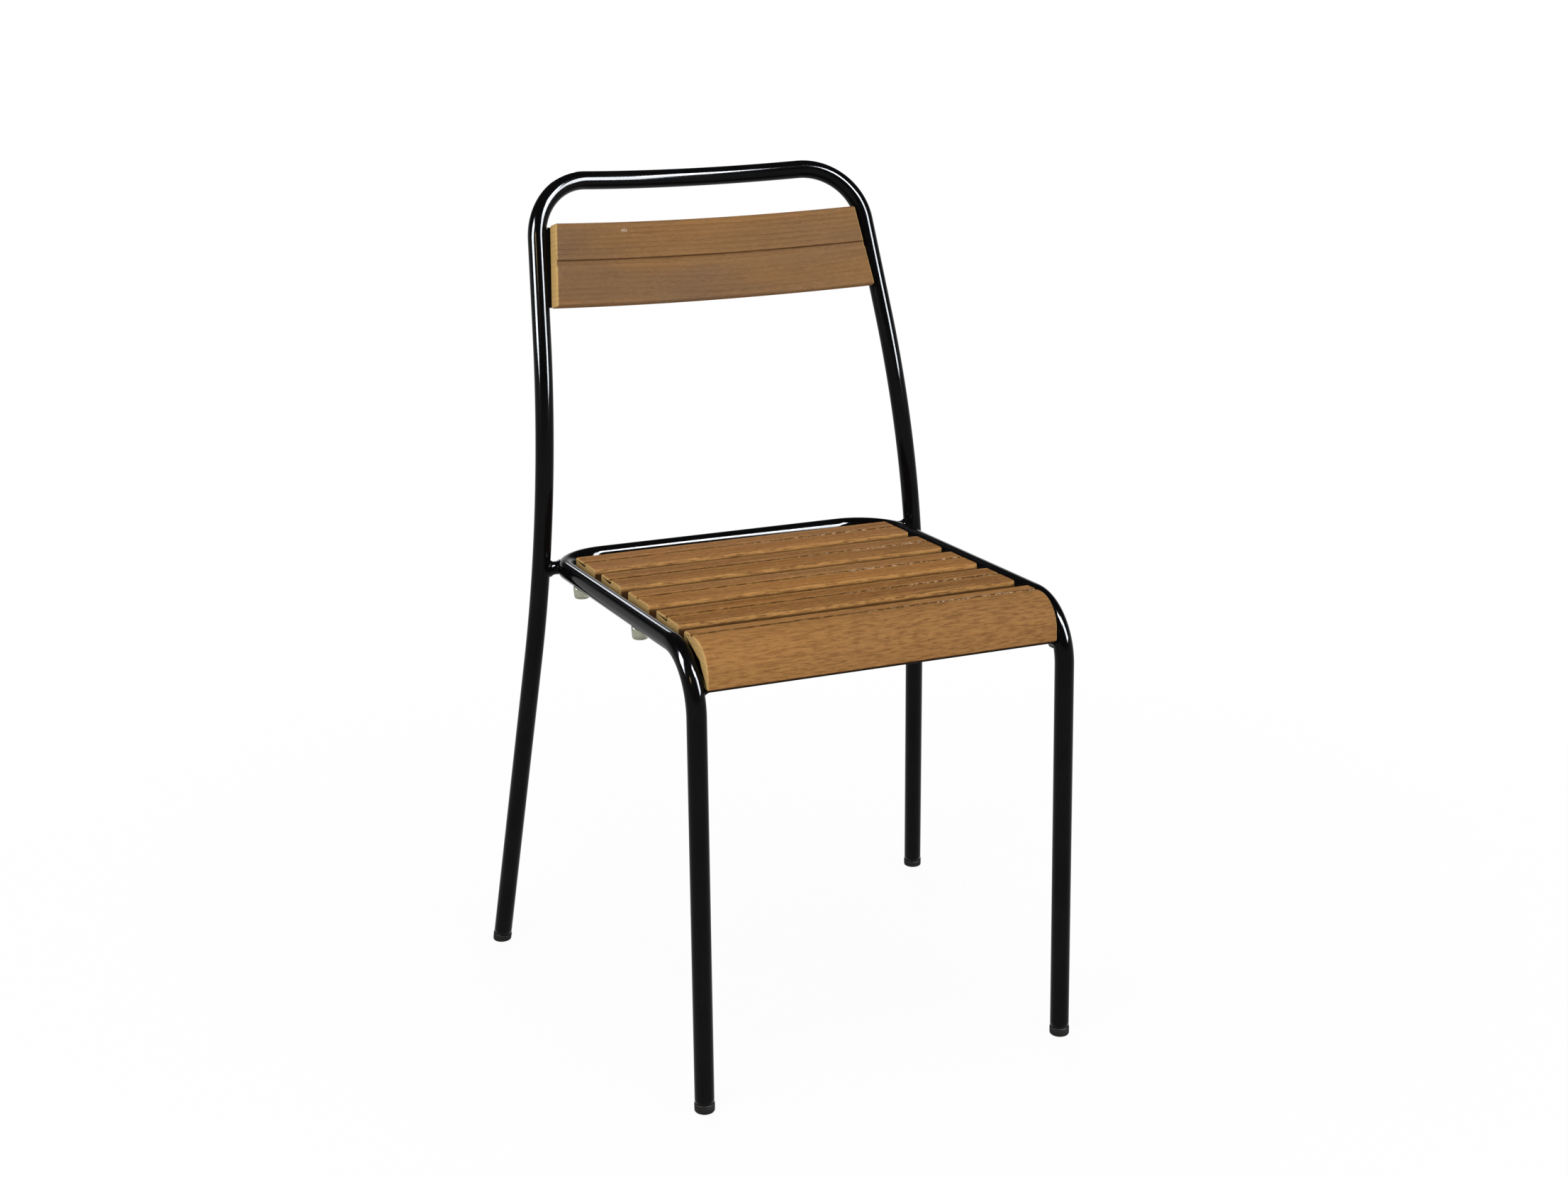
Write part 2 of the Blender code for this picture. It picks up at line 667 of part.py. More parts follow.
def back_screws():
    grip = BRACKET_THICK + 2 * GAP + SCREW_BITE
    for i, (seat, direction) in enumerate(bracket_screws()):
        screw("back_screw_%d" % (i + 1), seat, direction, grip)


def foot_cap(name, foot, up):
    """Plastic cap: a flat sole on the floor and a stem inside the tube."""
    u = unit(np.cross(up, (0.0, 1.0, 0.0)))
    v = np.cross(up, u)
    angles = [2 * math.pi * k / 16 for k in range(16)]
    floor = [(0.0, CAP_FLAT_R), (CAP_EDGE, CAP_R - CAP_EDGE)]
    rings = []
    for z, r in floor:
        centre = foot + up * z / up[2]
        rings.append([centre + r * np.array([math.cos(a) * u[0] + math.sin(a) * v[0],
                                             math.cos(a) * u[1] + math.sin(a) * v[1], 0.0])
                      for a in angles])
    stem_r = TUBE_R - TUBE_WALL - GAP
    top = CAP_HEIGHT / up[2]
    for along, r in ((CAP_WIDEN, CAP_R), (top, CAP_R), (top, stem_r),
                     (top + CAP_STEM, stem_r), (top + CAP_STEM + CAP_EDGE, stem_r - CAP_EDGE)):
        centre = foot + up * along
        rings.append([centre + r * (math.cos(a) * u + math.sin(a) * v) for a in angles])
    loft(name, rings, CAP, smooth=True)


def foot_caps():
    flip = np.array([-1.0, 1.0, 1.0])
    for label, foot, up in (("front", FRONT_FOOT, FRONT_UP), ("rear", REAR_FOOT, REAR_UP)):
        foot_cap("foot_cap_%s_right" % label, foot, up)
        foot_cap("foot_cap_%s_left" % label, foot * flip, up * flip)


def bumpers():
    """Clear stacking bumpers: round buttons saddled on the tube's underside."""
    sole = TUBE_R + BUMPER_DROP
    profile = [(BUMPER_TOP, BUMPER_R), (TUBE_R, BUMPER_R)]
    centre = (sole - BUMPER_ROUND, BUMPER_LOW_R - BUMPER_ROUND)
    for r, along in bend(centre[::-1], BUMPER_ROUND, 0, 90):
        profile.append((along, r))
    bore = (TUBE_R + GAP) / math.cos(math.pi / TUBE_SIDES)
    for side, label in ((1, "right"), (-1, "left")):
        for y, place in zip(BUMPER_Y, ("rear", "front")):
            at = np.array([side * RAIL_X, y, rail_z(y)])
            name = "stacking_bumper_%s_%s" % (place, label)
            button = turned(name, at, -SEAT_UP, profile, CLEAR, sides=20)
            behind = at - SEAT_AHEAD * 2 * BUMPER_R
            drill(button, behind, SEAT_AHEAD, bore, 4 * BUMPER_R, TUBE_SIDES)


def centre_on_floor():
    """Move every mesh so that the chair's box is centred over the origin."""
    corners = [v.co for ob in bpy.data.objects for v in ob.data.vertices]
    low = Vector([min(c[i] for c in corners) for i in range(3)])
    high = Vector([max(c[i] for c in corners) for i in range(3)])
    shift = Vector([-(low[0] + high[0]) / 2, -(low[1] + high[1]) / 2, -low[2]])
    for ob in bpy.data.objects:
        for v in ob.data.vertices:
            v.co += shift


def build():
    clear_scene()
    seat_frame()
    rear_frame()
    spacers()
    front_cross_bar()
    support_bars()
    slats()
    slat_screws()
    back_board()
    brackets()
    back_screws()
    foot_caps()
    bumpers()
    centre_on_floor()


build()
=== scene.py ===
"""Finish of a stacking side chair: painted tube frame, hardwood slats, plastic feet.

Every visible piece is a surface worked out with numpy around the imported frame.
Lengths are in metres. X runs across the chair, it faces -Y, and +Z is up.
"""
import math

import bmesh
import bpy
import numpy as np
from mathutils import Matrix, Vector


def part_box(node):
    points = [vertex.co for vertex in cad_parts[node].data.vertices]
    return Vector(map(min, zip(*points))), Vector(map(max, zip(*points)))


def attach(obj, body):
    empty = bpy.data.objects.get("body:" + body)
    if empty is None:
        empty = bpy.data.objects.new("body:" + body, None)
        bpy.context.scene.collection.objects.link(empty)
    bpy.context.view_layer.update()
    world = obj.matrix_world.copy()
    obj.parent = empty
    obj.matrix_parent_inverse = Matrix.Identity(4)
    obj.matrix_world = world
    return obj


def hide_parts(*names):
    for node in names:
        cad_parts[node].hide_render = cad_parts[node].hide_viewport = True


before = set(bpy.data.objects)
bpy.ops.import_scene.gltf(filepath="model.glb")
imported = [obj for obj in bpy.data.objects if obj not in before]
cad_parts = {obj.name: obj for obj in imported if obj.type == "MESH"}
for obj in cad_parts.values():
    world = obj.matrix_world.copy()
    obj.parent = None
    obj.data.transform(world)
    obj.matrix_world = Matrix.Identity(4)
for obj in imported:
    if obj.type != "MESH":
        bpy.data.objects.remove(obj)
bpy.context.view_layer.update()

bl_info = {
    "name": "Slatted side chair",
    "version": (1, 0, 0),
    "blender": (4, 5, 0),
    "location": "View3D > Sidebar > Chair",
    "description": "Builds a painted tube chair with hardwood slats around its packed frame",
    "category": "Object",
}

BODY = "root"
SIDES = ((1, "right"), (-1, "left"))

# Frame tubes, as the solids have them, before the chair is centred on the floor
TUBE_R = 0.0095
TUBE_WALL = 0.0015
TUBE_RIM = 0.0003          # rounding of a tube's cut end
TUBE_PLUG = 0.0140         # how deep the open end of a tube is closed
RAIL_X = 0.1921            # side rail, out from the middle plane
FRONT_FOOT = np.array([0.1938, -0.3079, 0.0])
FRONT_RAKE = 0.0334        # how far a front leg leans back for its height
RAIL_Z = 0.4378            # height of the side rail at Y = 0
RAIL_FALL = 0.0342         # how far the rail falls towards the back for its length
FRONT_BEND_R = 0.0582
REAR_RAIL_Y = 0.1091
REAR_BEND_R = 0.0540
REAR_FOOT_X = 0.2538
REAR_TAPER = 0.0880        # how far the rear tube leans inwards for its height
KNEE_Y = 0.0587
KNEE_Z = 0.5068
KNEE_R = 0.7116
REAR_RAKE = 0.1542         # how far a rear leg runs back for its height
LEAN = 0.3382              # how far an upright leans back for its height
TOP_Z = 0.8241
TOP_BOW = 0.0259
TOP_CORNER = 0.0615        # length of the upright and of the rail that a corner takes
CORNER_HOLD = 0.5523       # share of it to a control point, as for a quarter circle
CAP_HEIGHT = 0.0090
CAP_R = 0.0099
CAP_SOLE_ROUND = 0.0022
CAP_STEM_R = TUBE_R - 0.0018
GAP = 0.0003               # between a piece and what carries it
WELD_IN = 0.0008           # how deep a welded end reaches into a tube's wall

# Slats and the bars under them
SLAT_COUNT = 4
SLAT_PITCH = 0.0772
SLAT_WIDTH = 0.0570
SLAT_HALF = 0.1792
SLAT_RISE = 0.0106         # top of the slats above the rails' centres
SLAT_THICK = SLAT_RISE + TUBE_R
SLAT_GROOVE = 0.0262       # groove from the rear edge
SLAT_REAR_Y = 0.0710
FRONT_SLAT_GAP = 0.0215
FRONT_SLAT_WIDTH = 0.0575
FRONT_GROOVE = 0.0170
FRONT_START = (SLAT_COUNT - 1) * SLAT_PITCH + SLAT_WIDTH + FRONT_SLAT_GAP
FRONT_FACE = FRONT_START + FRONT_SLAT_WIDTH
NOSE_R = 0.0320
NOSE_EXTRA = 0.0028        # the front slat's ends come this much closer to the legs
LIP_DROP = 0.0440
LIP_THICK = 0.0190
LIP_FILLET = 0.0040
LIP_SHADE = 0.0016         # how far up the lip's lower edge is dark
END_STEP_IN = 0.0004       # a board's end face, in from the foot of its rounding
CUT_FROM, CUT_OVER = 0.35, 0.70     # angles round the edge where cut wood starts and fills
GROOVE_MARK = 0.46         # half the marked width of a groove, as a share of the groove
GROOVE_LIP = 0.28          # from here out, as such a share, lies the groove's lip
TOP_DEPTH = 0.0040         # points no deeper than this belong to a board's top
SUPPORT_X = 0.1150
SUPPORT_WIDTH = 0.0200
SUPPORT_THICK = 0.0030
SUPPORT_BEND = 0.0060
SUPPORT_LAP = 0.0040       # past the rear rail's centre
CROSS_WIDTH = 0.0180
CROSS_THICK = 0.0025
CROSS_SETBACK = 0.0065     # behind the front slat's face
CROSS_NARROW = 0.0065      # how much narrower the bar is where it meets a leg
CROSS_FLARE = 0.0062       # radius on which its lower side falls there
CROSS_TUCK = (0.0006, 0.0002)   # its last ring lies further in, and reaches lower
SPACER_MID_R = 0.0069
SPACER_END_R = 0.0091
SPACER_WAIST = 2.2         # power of the curve from the middle to the ends
BEAD_RISE = 0.00065
BEAD_SPREAD = 0.10         # half length of a weld bead, as a share of the spacer
BEADS = ((0.16, 15, 0.4), (0.84, 17, 1.3))     # share along, scallops and phase
BEAD_IN = 0.0012           # how deep the spacer's ends reach into the tubes

# Back board and the plates behind it
BOARD_THICK = 0.0140
BOARD_TOP_Z = 0.7780
BOARD_HEIGHT = 0.0815
BOARD_LOW_Z = BOARD_TOP_Z - BOARD_HEIGHT
BOARD_GROOVE = 0.0425      # groove from the lower edge
BOARD_TOP_HALF = 0.1692
BOARD_LOW_HALF = 0.1797
BOARD_AHEAD = 0.0194       # face at the ends, ahead of the line of the uprights
BOARD_BOW = 0.0215
BRACKET_THICK = 0.0030
BRACKET_HEIGHT = 0.0830
BRACKET_REACH = 0.0300
BRACKET_SCREW_STEP = 0.0460
BRACKET_SCREW_IN = 0.0165

# Screws and bumpers
SCREW_R = 0.0020
SCREW_HEAD_R = 0.0040
SCREW_HEAD_H = 0.0022
SCREW_RECESS = 0.0012
SCREW_DOME = 0.55          # share of the head's height lost at its edge
SLOT_HALF = (0.17, 0.62)   # half width and half length of the recess, as shares of the radius
SLOT_WALL = (0.07, 0.12)   # how far in from there its walls fall
SCREW_BITE = 0.0100        # how far a screw goes into the wood
SCREW_SETBACK = 0.0171     # from the rear edge of a slat
FRONT_SCREW_SETBACK = 0.0110
BUMPER_Y = (0.0168, -0.1510)
BUMPER_R = 0.0086
BUMPER_LOW_R = 0.0078
BUMPER_DROP = 0.0092       # sole below the tube's underside
BUMPER_ROUND = 0.0022
BUMPER_EDGE = 0.0003       # rounding where the saddle meets the side

# Fineness of the surfaces: facets round a piece, rings along it, points of an outline
TURNED_SIDES = 48
SPACER_SIDES, SPACER_RINGS = 56, 33
SLAT_RINGS, BOARD_RINGS, END_RINGS = 24, 64, 7
BAR_RINGS, BEND_RINGS, PLATE_RINGS = 40, 12, 14
CORNER_RINGS = 28
GROOVE_POINTS = 13
NOSE_STEPS = 24
REACH_STEPS = 200          # places tried for where a plate enters its upright
CURVE_STEP = 0.0006        # points of an outline that lie closer than this are on a curve

# Wood: colours that don't change, and each board's place in the trunk
PORE_BROWN = (0.050, 0.022, 0.008)
# painted shade in the grooves
GROOVE_SHADE_BROWN = (0.030, 0.012, 0.004)
# painted shade low on the flanks and on the cut ends
LOW_SHADE_BROWN = (0.020, 0.009, 0.003)
# painted sheen in the grooves
GROOVE_SHEEN_PALE = (0.60, 0.46, 0.33)
RAW_NICK = (0.62, 0.52, 0.40)
# Arched growth lines of the front slat: centre (x, z), stretch along x, and spacing
ARCH_AT, ARCH_STRETCH, ARCH_SPACING = (0.070, 0.438), 3.4, 0.0042
BOARDS = {
    "seat_slat_1": dict(
        seed=1.0, trunk=(0.060, -0.36), tilt=(0.010, 0.030), warmth=0.15,
        spacing=0.0042, tint=(1.22, 1.20, 1.20), streaky=0.55, ragged_and_sheen=1.0),
    "seat_slat_2": dict(
        seed=2.3, trunk=(0.020, -0.40), tilt=(0.020, -0.022), warmth=0.25,
        spacing=0.0050, tint=(1.06, 1.05, 1.02), streaky=0.62, ragged_and_sheen=1.0),
    "seat_slat_3": dict(
        seed=3.1, trunk=(0.110, -0.38), tilt=(-0.016, 0.018), warmth=0.05,
        spacing=0.0038, tint=(1.26, 1.22, 1.10), streaky=0.60, ragged_and_sheen=1.0),
    "seat_slat_4": dict(
        seed=4.7, trunk=(0.180, -0.37), tilt=(0.012, -0.030), warmth=0.30,
        spacing=0.0046, tint=(1.04, 1.00, 0.90), streaky=0.72, ragged_and_sheen=1.0),
    "front_slat": dict(
        seed=5.9, trunk=(0.215, -0.395), tilt=(0.070, 0.020), warmth=0.90,
        spacing=0.0058, tint=(1.04, 1.02, 0.98), streaky=0.08, ragged_and_sheen=1.0,
        ripple=0.078),
    "back_board": dict(
        seed=7.2, trunk=(-0.150, -0.66), tilt=(0.020, 0.050), warmth=0.10,
        spacing=0.0052, tint=(1.02, 1.14, 1.35), streaky=0.15, ragged_and_sheen=0.0,
        nick=((-0.0920, 0.7705), (0.0055, 0.0050, 0.0030))),
}

# Camera of the photograph, before the chair is centred
CAMERA_AT = (-0.94182, -2.17013, 1.11433)
CAMERA_YAW = 0.41945
CAMERA_PITCH = 0.28950
CAMERA_FOCUS = 3329.81     # in pixels of the photograph's width
PHOTO_WIDTH = 2212
SENSOR = 36.0

# Stage
FLOOR_RINGS = (14.0, 5.0, 1.5, 0.4)
FLOOR_SIDES = 96
FLOOR_DROP = 0.0002        # below the feet
FLOOR_SHADOW = (0.45, 1.3)      # from here to here out, the chair's shadow fades
FLOOR_LIFT = 0.94          # how far the floor is lifted to white under the chair
LAMP_AIM_Z = 0.55          # height of the point that the lamps face
WHITE, COOL, WARM = (1.0, 1.0, 1.0), (0.90, 0.94, 1.0), (1.0, 0.72, 0.36)
# Name, bearing and height angle, distance, size, power, colour, only mirrored or not
LAMPS = (
    ("key_left", -126.0, 22.0, 2.9, (1.3, 1.3), 34.0, WHITE, False),
    ("key_front", 168.0, 18.0, 3.1, (1.6, 1.2), 24.0, WHITE, False),
    ("key_back", 15.0, 30.0, 3.2, (1.6, 1.2), 24.0, WHITE, False),
    ("top", 180.0, 84.0, 2.4, (1.6, 1.6), 24.0, WHITE, False),
    ("panel_right", 137.0, 30.0, 1.7, (0.56, 1.00), 330.0, COOL, True),
    ("panel_high", 145.0, 52.0, 2.0, (0.46, 0.6), 270.0, COOL, True),
    ("panel_left", -90.0, 31.5, 1.15, (0.36, 0.62), 160.0, COOL, True),
    ("panel_back", 9.0, 18.5, 3.1, (0.5, 0.35), 6.0, COOL, True),
    ("glint_warm", -136.0, 36.0, 2.4, (0.3, 0.3), 16.0, WARM, True),
)


class ChairSizes(bpy.types.PropertyGroup):
    """Sizes of the finish that a user may change."""
    tube_sides: bpy.props.IntProperty(
        name="Tube sides", description="Facets around a frame tube", default=48, min=16)
    path_step: bpy.props.FloatProperty(
        name="Path step", description="Distance between rings along a tube",
        default=0.005, unit="LENGTH")
    edge_round: bpy.props.FloatProperty(
        name="Slat edge radius", description="Radius along the long edges of the slats",
        default=0.0024, unit="LENGTH")
    end_round: bpy.props.FloatProperty(
        name="Slat end radius", description="Radius round the ends of the slats",
        default=0.0020, unit="LENGTH")
    groove_width: bpy.props.FloatProperty(
        name="Groove width", description="Width of the groove along each slat",
        default=0.0060, unit="LENGTH")
    groove_depth: bpy.props.FloatProperty(
        name="Groove depth", description="Depth of the groove along each slat",
        default=0.0021, unit="LENGTH")
    metal_edge: bpy.props.FloatProperty(
        name="Metal edge radius", description="Radius along the edges of flat bars",
        default=0.0006, unit="LENGTH")


class ChairColours(bpy.types.PropertyGroup):
    """Colours that a user may change."""
    paint: bpy.props.FloatVectorProperty(
        name="Paint", description="Colour of the frame paint", subtype="COLOR",
        size=3, default=(0.0018, 0.0018, 0.0020), min=0.0, max=1.0)
    wood: bpy.props.FloatVectorProperty(
        name="Wood", description="Main colour of the slats", subtype="COLOR",
        size=3, default=(0.272, 0.128, 0.043), min=0.0, max=1.0)
    wood_dark: bpy.props.FloatVectorProperty(
        name="Dark wood", description="Colour of the dark growth lines", subtype="COLOR",
        size=3, default=(0.088, 0.038, 0.014), min=0.0, max=1.0)
    wood_grey: bpy.props.FloatVectorProperty(
        name="Grey wood", description="Colour of the duller patches", subtype="COLOR",
        size=3, default=(0.192, 0.105, 0.050), min=0.0, max=1.0)
    end_grain: bpy.props.FloatVectorProperty(
        name="End grain", description="Colour of the cut ends", subtype="COLOR",
        size=3, default=(0.620, 0.400, 0.150), min=0.0, max=1.0)
    # one colour for the painted highlight on eased edges and upper flanks, and for pale grain
    # streaks and flecks
    golden: bpy.props.FloatVectorProperty(
        name="Edge highlight", description="Colour of the painted highlight on the eased edges and flanks, and of pale grain",
        subtype="COLOR", size=3, default=(0.560, 0.300, 0.100), min=0.0, max=1.0)
    feet: bpy.props.FloatVectorProperty(
        name="Feet", description="Colour of the foot caps", subtype="COLOR",
        size=3, default=(0.012, 0.011, 0.010), min=0.0, max=1.0)
    bumper: bpy.props.FloatVectorProperty(
        name="Bumper", description="Colour of the stacking bumpers", subtype="COLOR",
        size=3, default=(0.400, 0.400, 0.320), min=0.0, max=1.0)


def sizes():
    return bpy.context.scene.chair_sizes


def colours():
    return bpy.context.scene.chair_colours


def unit(v):
    return v / np.linalg.norm(v, axis=-1, keepdims=True)


# The chair's lines


def rail_z(y):
    """Height of the side rail's centreline at Y."""
    return RAIL_Z - RAIL_FALL * y


RAIL_TILT = math.atan(RAIL_FALL)
SEAT_UP = np.array([0.0, math.sin(RAIL_TILT), math.cos(RAIL_TILT)])
SEAT_AHEAD = np.array([0.0, -math.cos(RAIL_TILT), math.sin(RAIL_TILT)])
SEAT_START = np.array([0.0, SLAT_REAR_Y, rail_z(SLAT_REAR_Y)])
ACROSS = np.array([1.0, 0.0, 0.0])
FLIP = np.array([-1.0, 1.0, 1.0])


def seat_point(x, s, h):
    """Point x across, s forward from the first slat's rear edge, h above the slat tops."""
    x, s, h = (np.asarray(v, float)[..., None] for v in (x, s, h))
    return SEAT_START + OFFSET + x * ACROSS + s * SEAT_AHEAD + (SLAT_RISE + h) * SEAT_UP


def chair_offset():
    """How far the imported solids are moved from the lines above, read off the second slat."""
    low, high = (np.array(corner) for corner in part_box("seat_slat_2"))
    middle = SEAT_START + (SLAT_PITCH + SLAT_WIDTH / 2) * SEAT_AHEAD
    middle = middle + (SLAT_RISE - SLAT_THICK / 2) * SEAT_UP
    return (low + high) / 2 - middle


OFFSET = chair_offset()

LEG_TOP_Z = (RAIL_Z - RAIL_FALL * FRONT_FOOT[1]) / (1 + RAIL_FALL * FRONT_RAKE)
FRONT_CORNER = np.array([RAIL_X, FRONT_FOOT[1] + FRONT_RAKE * LEG_TOP_Z, LEG_TOP_Z])
REAR_CORNER = np.array([RAIL_X, REAR_RAIL_Y, rail_z(REAR_RAIL_Y)])
REAR_FOOT = np.array([REAR_FOOT_X, KNEE_Y + REAR_RAKE * KNEE_Z, 0.0])
KNEE = np.array([REAR_FOOT_X - REAR_TAPER * KNEE_Z, KNEE_Y, KNEE_Z])
TOP = np.array([REAR_FOOT_X - REAR_TAPER * TOP_Z, KNEE_Y + LEAN * (TOP_Z - KNEE_Z), TOP_Z])
FRONT_UP = unit(FRONT_CORNER - FRONT_FOOT)
REAR_UP = unit(KNEE - REAR_FOOT)
UPRIGHT = unit(TOP - KNEE)
BACK_UP = unit(np.array([0.0, LEAN, 1.0]))
BACK_OUT = -np.cross(ACROSS, BACK_UP)


def leg_start(foot, up):
    """Where a leg tube begins, just above its cap."""
    return foot + up * (CAP_HEIGHT + GAP) / up[2]


def straight(start, end, step):
    """Evenly spaced points from start up to, but without, end."""
    count = max(2, int(np.linalg.norm(end - start) / step))
    return start + np.linspace(0.0, 1.0, count, endpoint=False)[:, None] * (end - start)


def rounded(points, radii, step):
    """A polyline whose inner corners are circular arcs, as an array of points."""
    pieces = []
    start = points[0]
    for corner, after, radius in zip(points[1:-1], points[2:], radii):
        back, ahead = unit(start - corner), unit(after - corner)
        inner = math.acos(np.clip(back @ ahead, -1.0, 1.0))
        reach = radius / math.tan(inner / 2)
        centre = corner + unit(back + ahead) * radius / math.sin(inner / 2)
        first = corner + back * reach
        e1 = unit(first - centre)
        e2 = unit(-back - (-back @ e1) * e1)
        turn = math.pi - inner
        count = max(8, int(2 * radius * turn / step))
        angles = np.linspace(0.0, turn, count, endpoint=False)[:, None]
        pieces += [straight(start, first, step)]
        pieces += [centre + radius * (np.cos(angles) * e1 + np.sin(angles) * e2)]
        start = corner + ahead * reach
    pieces += [straight(start, points[-1], step), points[-1][None]]
    return np.vstack(pieces)


def mirrored(half):
    """A path from the right foot to the middle, carried on to the left foot."""
    return np.vstack([half, half[-2::-1] * FLIP])


def seat_path(step):
    """Front leg, side rail and rear rail: straight runs joined by arcs."""
    middle = REAR_CORNER * (0.0, 1.0, 1.0)
    corners = [leg_start(FRONT_FOOT, FRONT_UP), FRONT_CORNER, REAR_CORNER, middle]
    return mirrored(rounded(corners, (FRONT_BEND_R, REAR_BEND_R), step)) + OFFSET


def top_rail(x):
    """Centre of the top rail at X: a parabola bowed straight out behind the back."""
    x = np.asarray(x, float)[..., None]
    bow = TOP_BOW * (1 - (x / TOP[0]) ** 2)
    return TOP * (0.0, 1.0, 1.0) + x * ACROSS + bow * BACK_OUT


def rear_path(step):
    """Rear leg, long knee arc, upright, a cubic curve at the corner and the top rail."""
    half = rounded([leg_start(REAR_FOOT, REAR_UP), KNEE, TOP], (KNEE_R,), step)
    start = TOP - UPRIGHT * TOP_CORNER
    half = half[(half - start) @ UPRIGHT < -1e-6]
    end_x = TOP[0] - TOP_CORNER / math.hypot(1.0, 2 * TOP_BOW / TOP[0])
    end = top_rail(end_x)
    run = unit(top_rail(end_x - 0.001) - top_rail(end_x + 0.001))
    hold = CORNER_HOLD * TOP_CORNER
    t = np.linspace(0.0, 1.0, CORNER_RINGS, endpoint=False)[:, None]
    s = 1 - t
    corner = (s ** 3 * start + 3 * s * s * t * (start + UPRIGHT * hold)
              + 3 * s * t * t * (end - run * hold) + t ** 3 * end)
    rail = top_rail(np.linspace(end_x, 0.0, max(8, int(end_x / step))))
    return mirrored(np.vstack([half, corner, rail])) + OFFSET


# Meshes


def circle(count):
    """Evenly spaced angles once round."""
    return np.linspace(0.0, 2 * math.pi, count, endpoint=False)


def grid_faces(rows, columns):
    """Quads of a grid of rows that each close round on themselves."""
    i, k = np.meshgrid(np.arange(rows - 1), np.arange(columns), indexing="ij")
    a, b = i * columns + k, i * columns + (k + 1) % columns
    quads = np.stack([a, b, b + columns, a + columns], axis=-1)
    return quads.reshape(-1, 4).tolist()


def make_piece(name, rows, look, nodes, marks=None, sharp=None):
    """One finished piece from stacked closed rings, with a face over each end.

    marks are values carried on its points; sharp is the angle, in degrees,
    from which its edges stay crisp.
    """
    count, columns = rows.shape[:2]
    faces = grid_faces(count, columns)
    faces.append(list(range(columns)))
    faces.append(list(range((count - 1) * columns, count * columns)))
    mesh = bpy.data.meshes.new(name)
    mesh.from_pydata(rows.reshape(-1, 3), [], faces)
    bm = bmesh.new()
    bm.from_mesh(mesh)
    bmesh.ops.recalc_face_normals(bm, faces=bm.faces)
    bm.to_mesh(mesh)
    bm.free()
    mesh.shade_smooth()
    if sharp is not None:
        mesh.set_sharp_from_angle(angle=math.radians(sharp))
    for mark, values in (marks or {}).items():
        layer = mesh.attributes.new(mark, "FLOAT", "POINT")
        layer.data.foreach_set("value", np.asarray(values, np.float32))
    mesh.materials.append(look)
    piece = bpy.data.objects.new(name, mesh)
    bpy.context.scene.collection.objects.link(piece)
    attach(piece, BODY)
    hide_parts(*nodes)
    return piece


def tube_rows(path, radius, sides):
    """Rings of one radius carried along a path, square to it."""
    tangents = unit(np.gradient(path, axis=0))
    side = unit(np.cross(tangents, unit(np.ones(3))))
    other = np.cross(tangents, side)
    a = circle(sides)[None, :, None]
    return path[:, None] + radius * (np.cos(a) * side[:, None] + np.sin(a) * other[:, None])


def open_tube(path, sides):
    """A tube whose open ends turn in over a rounded rim to a plug deep inside."""
    inner = TUBE_R - TUBE_WALL
    radii = np.array([inner, inner, inner + TUBE_RIM, TUBE_R - TUBE_RIM])[:, None, None]
    along = np.array([TUBE_PLUG, TUBE_RIM, 0.0, 0.0])[:, None, None]
    first, last = unit(path[1] - path[0]), unit(path[-1] - path[-2])
    rows = tube_rows(path, TUBE_R, sides)
    start = path[0] + along * first + radii * (rows[0] - path[0]) / TUBE_R
    end = path[-1] - along * last + radii * (rows[-1] - path[-1]) / TUBE_R
    rows[0] += first * TUBE_RIM
    rows[-1] -= last * TUBE_RIM
    return np.concatenate([start, rows, end[::-1]])


def arc(centre, radius, start, end, steps=6):
    """Points round a corner of an outline, between two angles in degrees."""
    a = np.radians(np.linspace(start, end, steps + 1))
    return np.stack([centre[0] + radius * np.cos(a), centre[1] + radius * np.sin(a)], axis=1)


def groove_arc(middle, width, depth):
    """Half round groove in a top edge: the root of 1 less the way across, to a power."""
    t = np.linspace(-1.0, 1.0, GROOVE_POINTS)
    drop = np.sqrt(np.clip(1 - (np.abs(t) * 0.98) ** 2.2, 0.0, 1.0))
    drop = drop - drop[0]
    return np.stack([middle + t * width / 2, -depth * drop / drop.max()], axis=1)


def held(outline, hold=0.0005, longest=0.004):
    """An outline with extra points close to both ends of its long straight sides."""
    out = []
    for a, b in zip(outline, np.roll(outline, -1, axis=0)):
        out.append(a[None])
        length = np.linalg.norm(b - a)
        if length > 4 * hold:
            count = max(2, int(length / longest))
            share = np.linspace(hold / length, 1 - hold / length, count)[:, None]
            out.append(a + share * (b - a))
    return np.vstack(out)


def board_outline(length, thick, groove, r, width, depth):
    """Closed outline of a flat board's end, (along, height), with rounded edges."""
    return held(np.vstack([
        arc((r, -r), r, 180, 90), groove_arc(groove, width, depth),
        arc((length - r, -r), r, 90, 0), arc((length - r, -thick + r), r, 0, -90),
        arc((r, -thick + r), r, -90, -180)]))


def front_outline(r, width, depth):
    """Outline of the front slat's end: flat top, round nose, and a lip turned down."""
    length, inner = FRONT_SLAT_WIDTH, FRONT_SLAT_WIDTH - LIP_THICK
    return held(np.vstack([
        arc((r, -r), r, 180, 90), groove_arc(FRONT_GROOVE, width, depth),
        arc((length - NOSE_R, -NOSE_R), NOSE_R, 90, 0, NOSE_STEPS),
        arc((length - r, -LIP_DROP + r), r, 0, -90),
        arc((inner + r, -LIP_DROP + r), r, -90, -180),
        arc((inner - LIP_FILLET, -SLAT_THICK - LIP_FILLET), LIP_FILLET, 0, 90),
        arc((r, -SLAT_THICK + r), r, -90, -180)]))


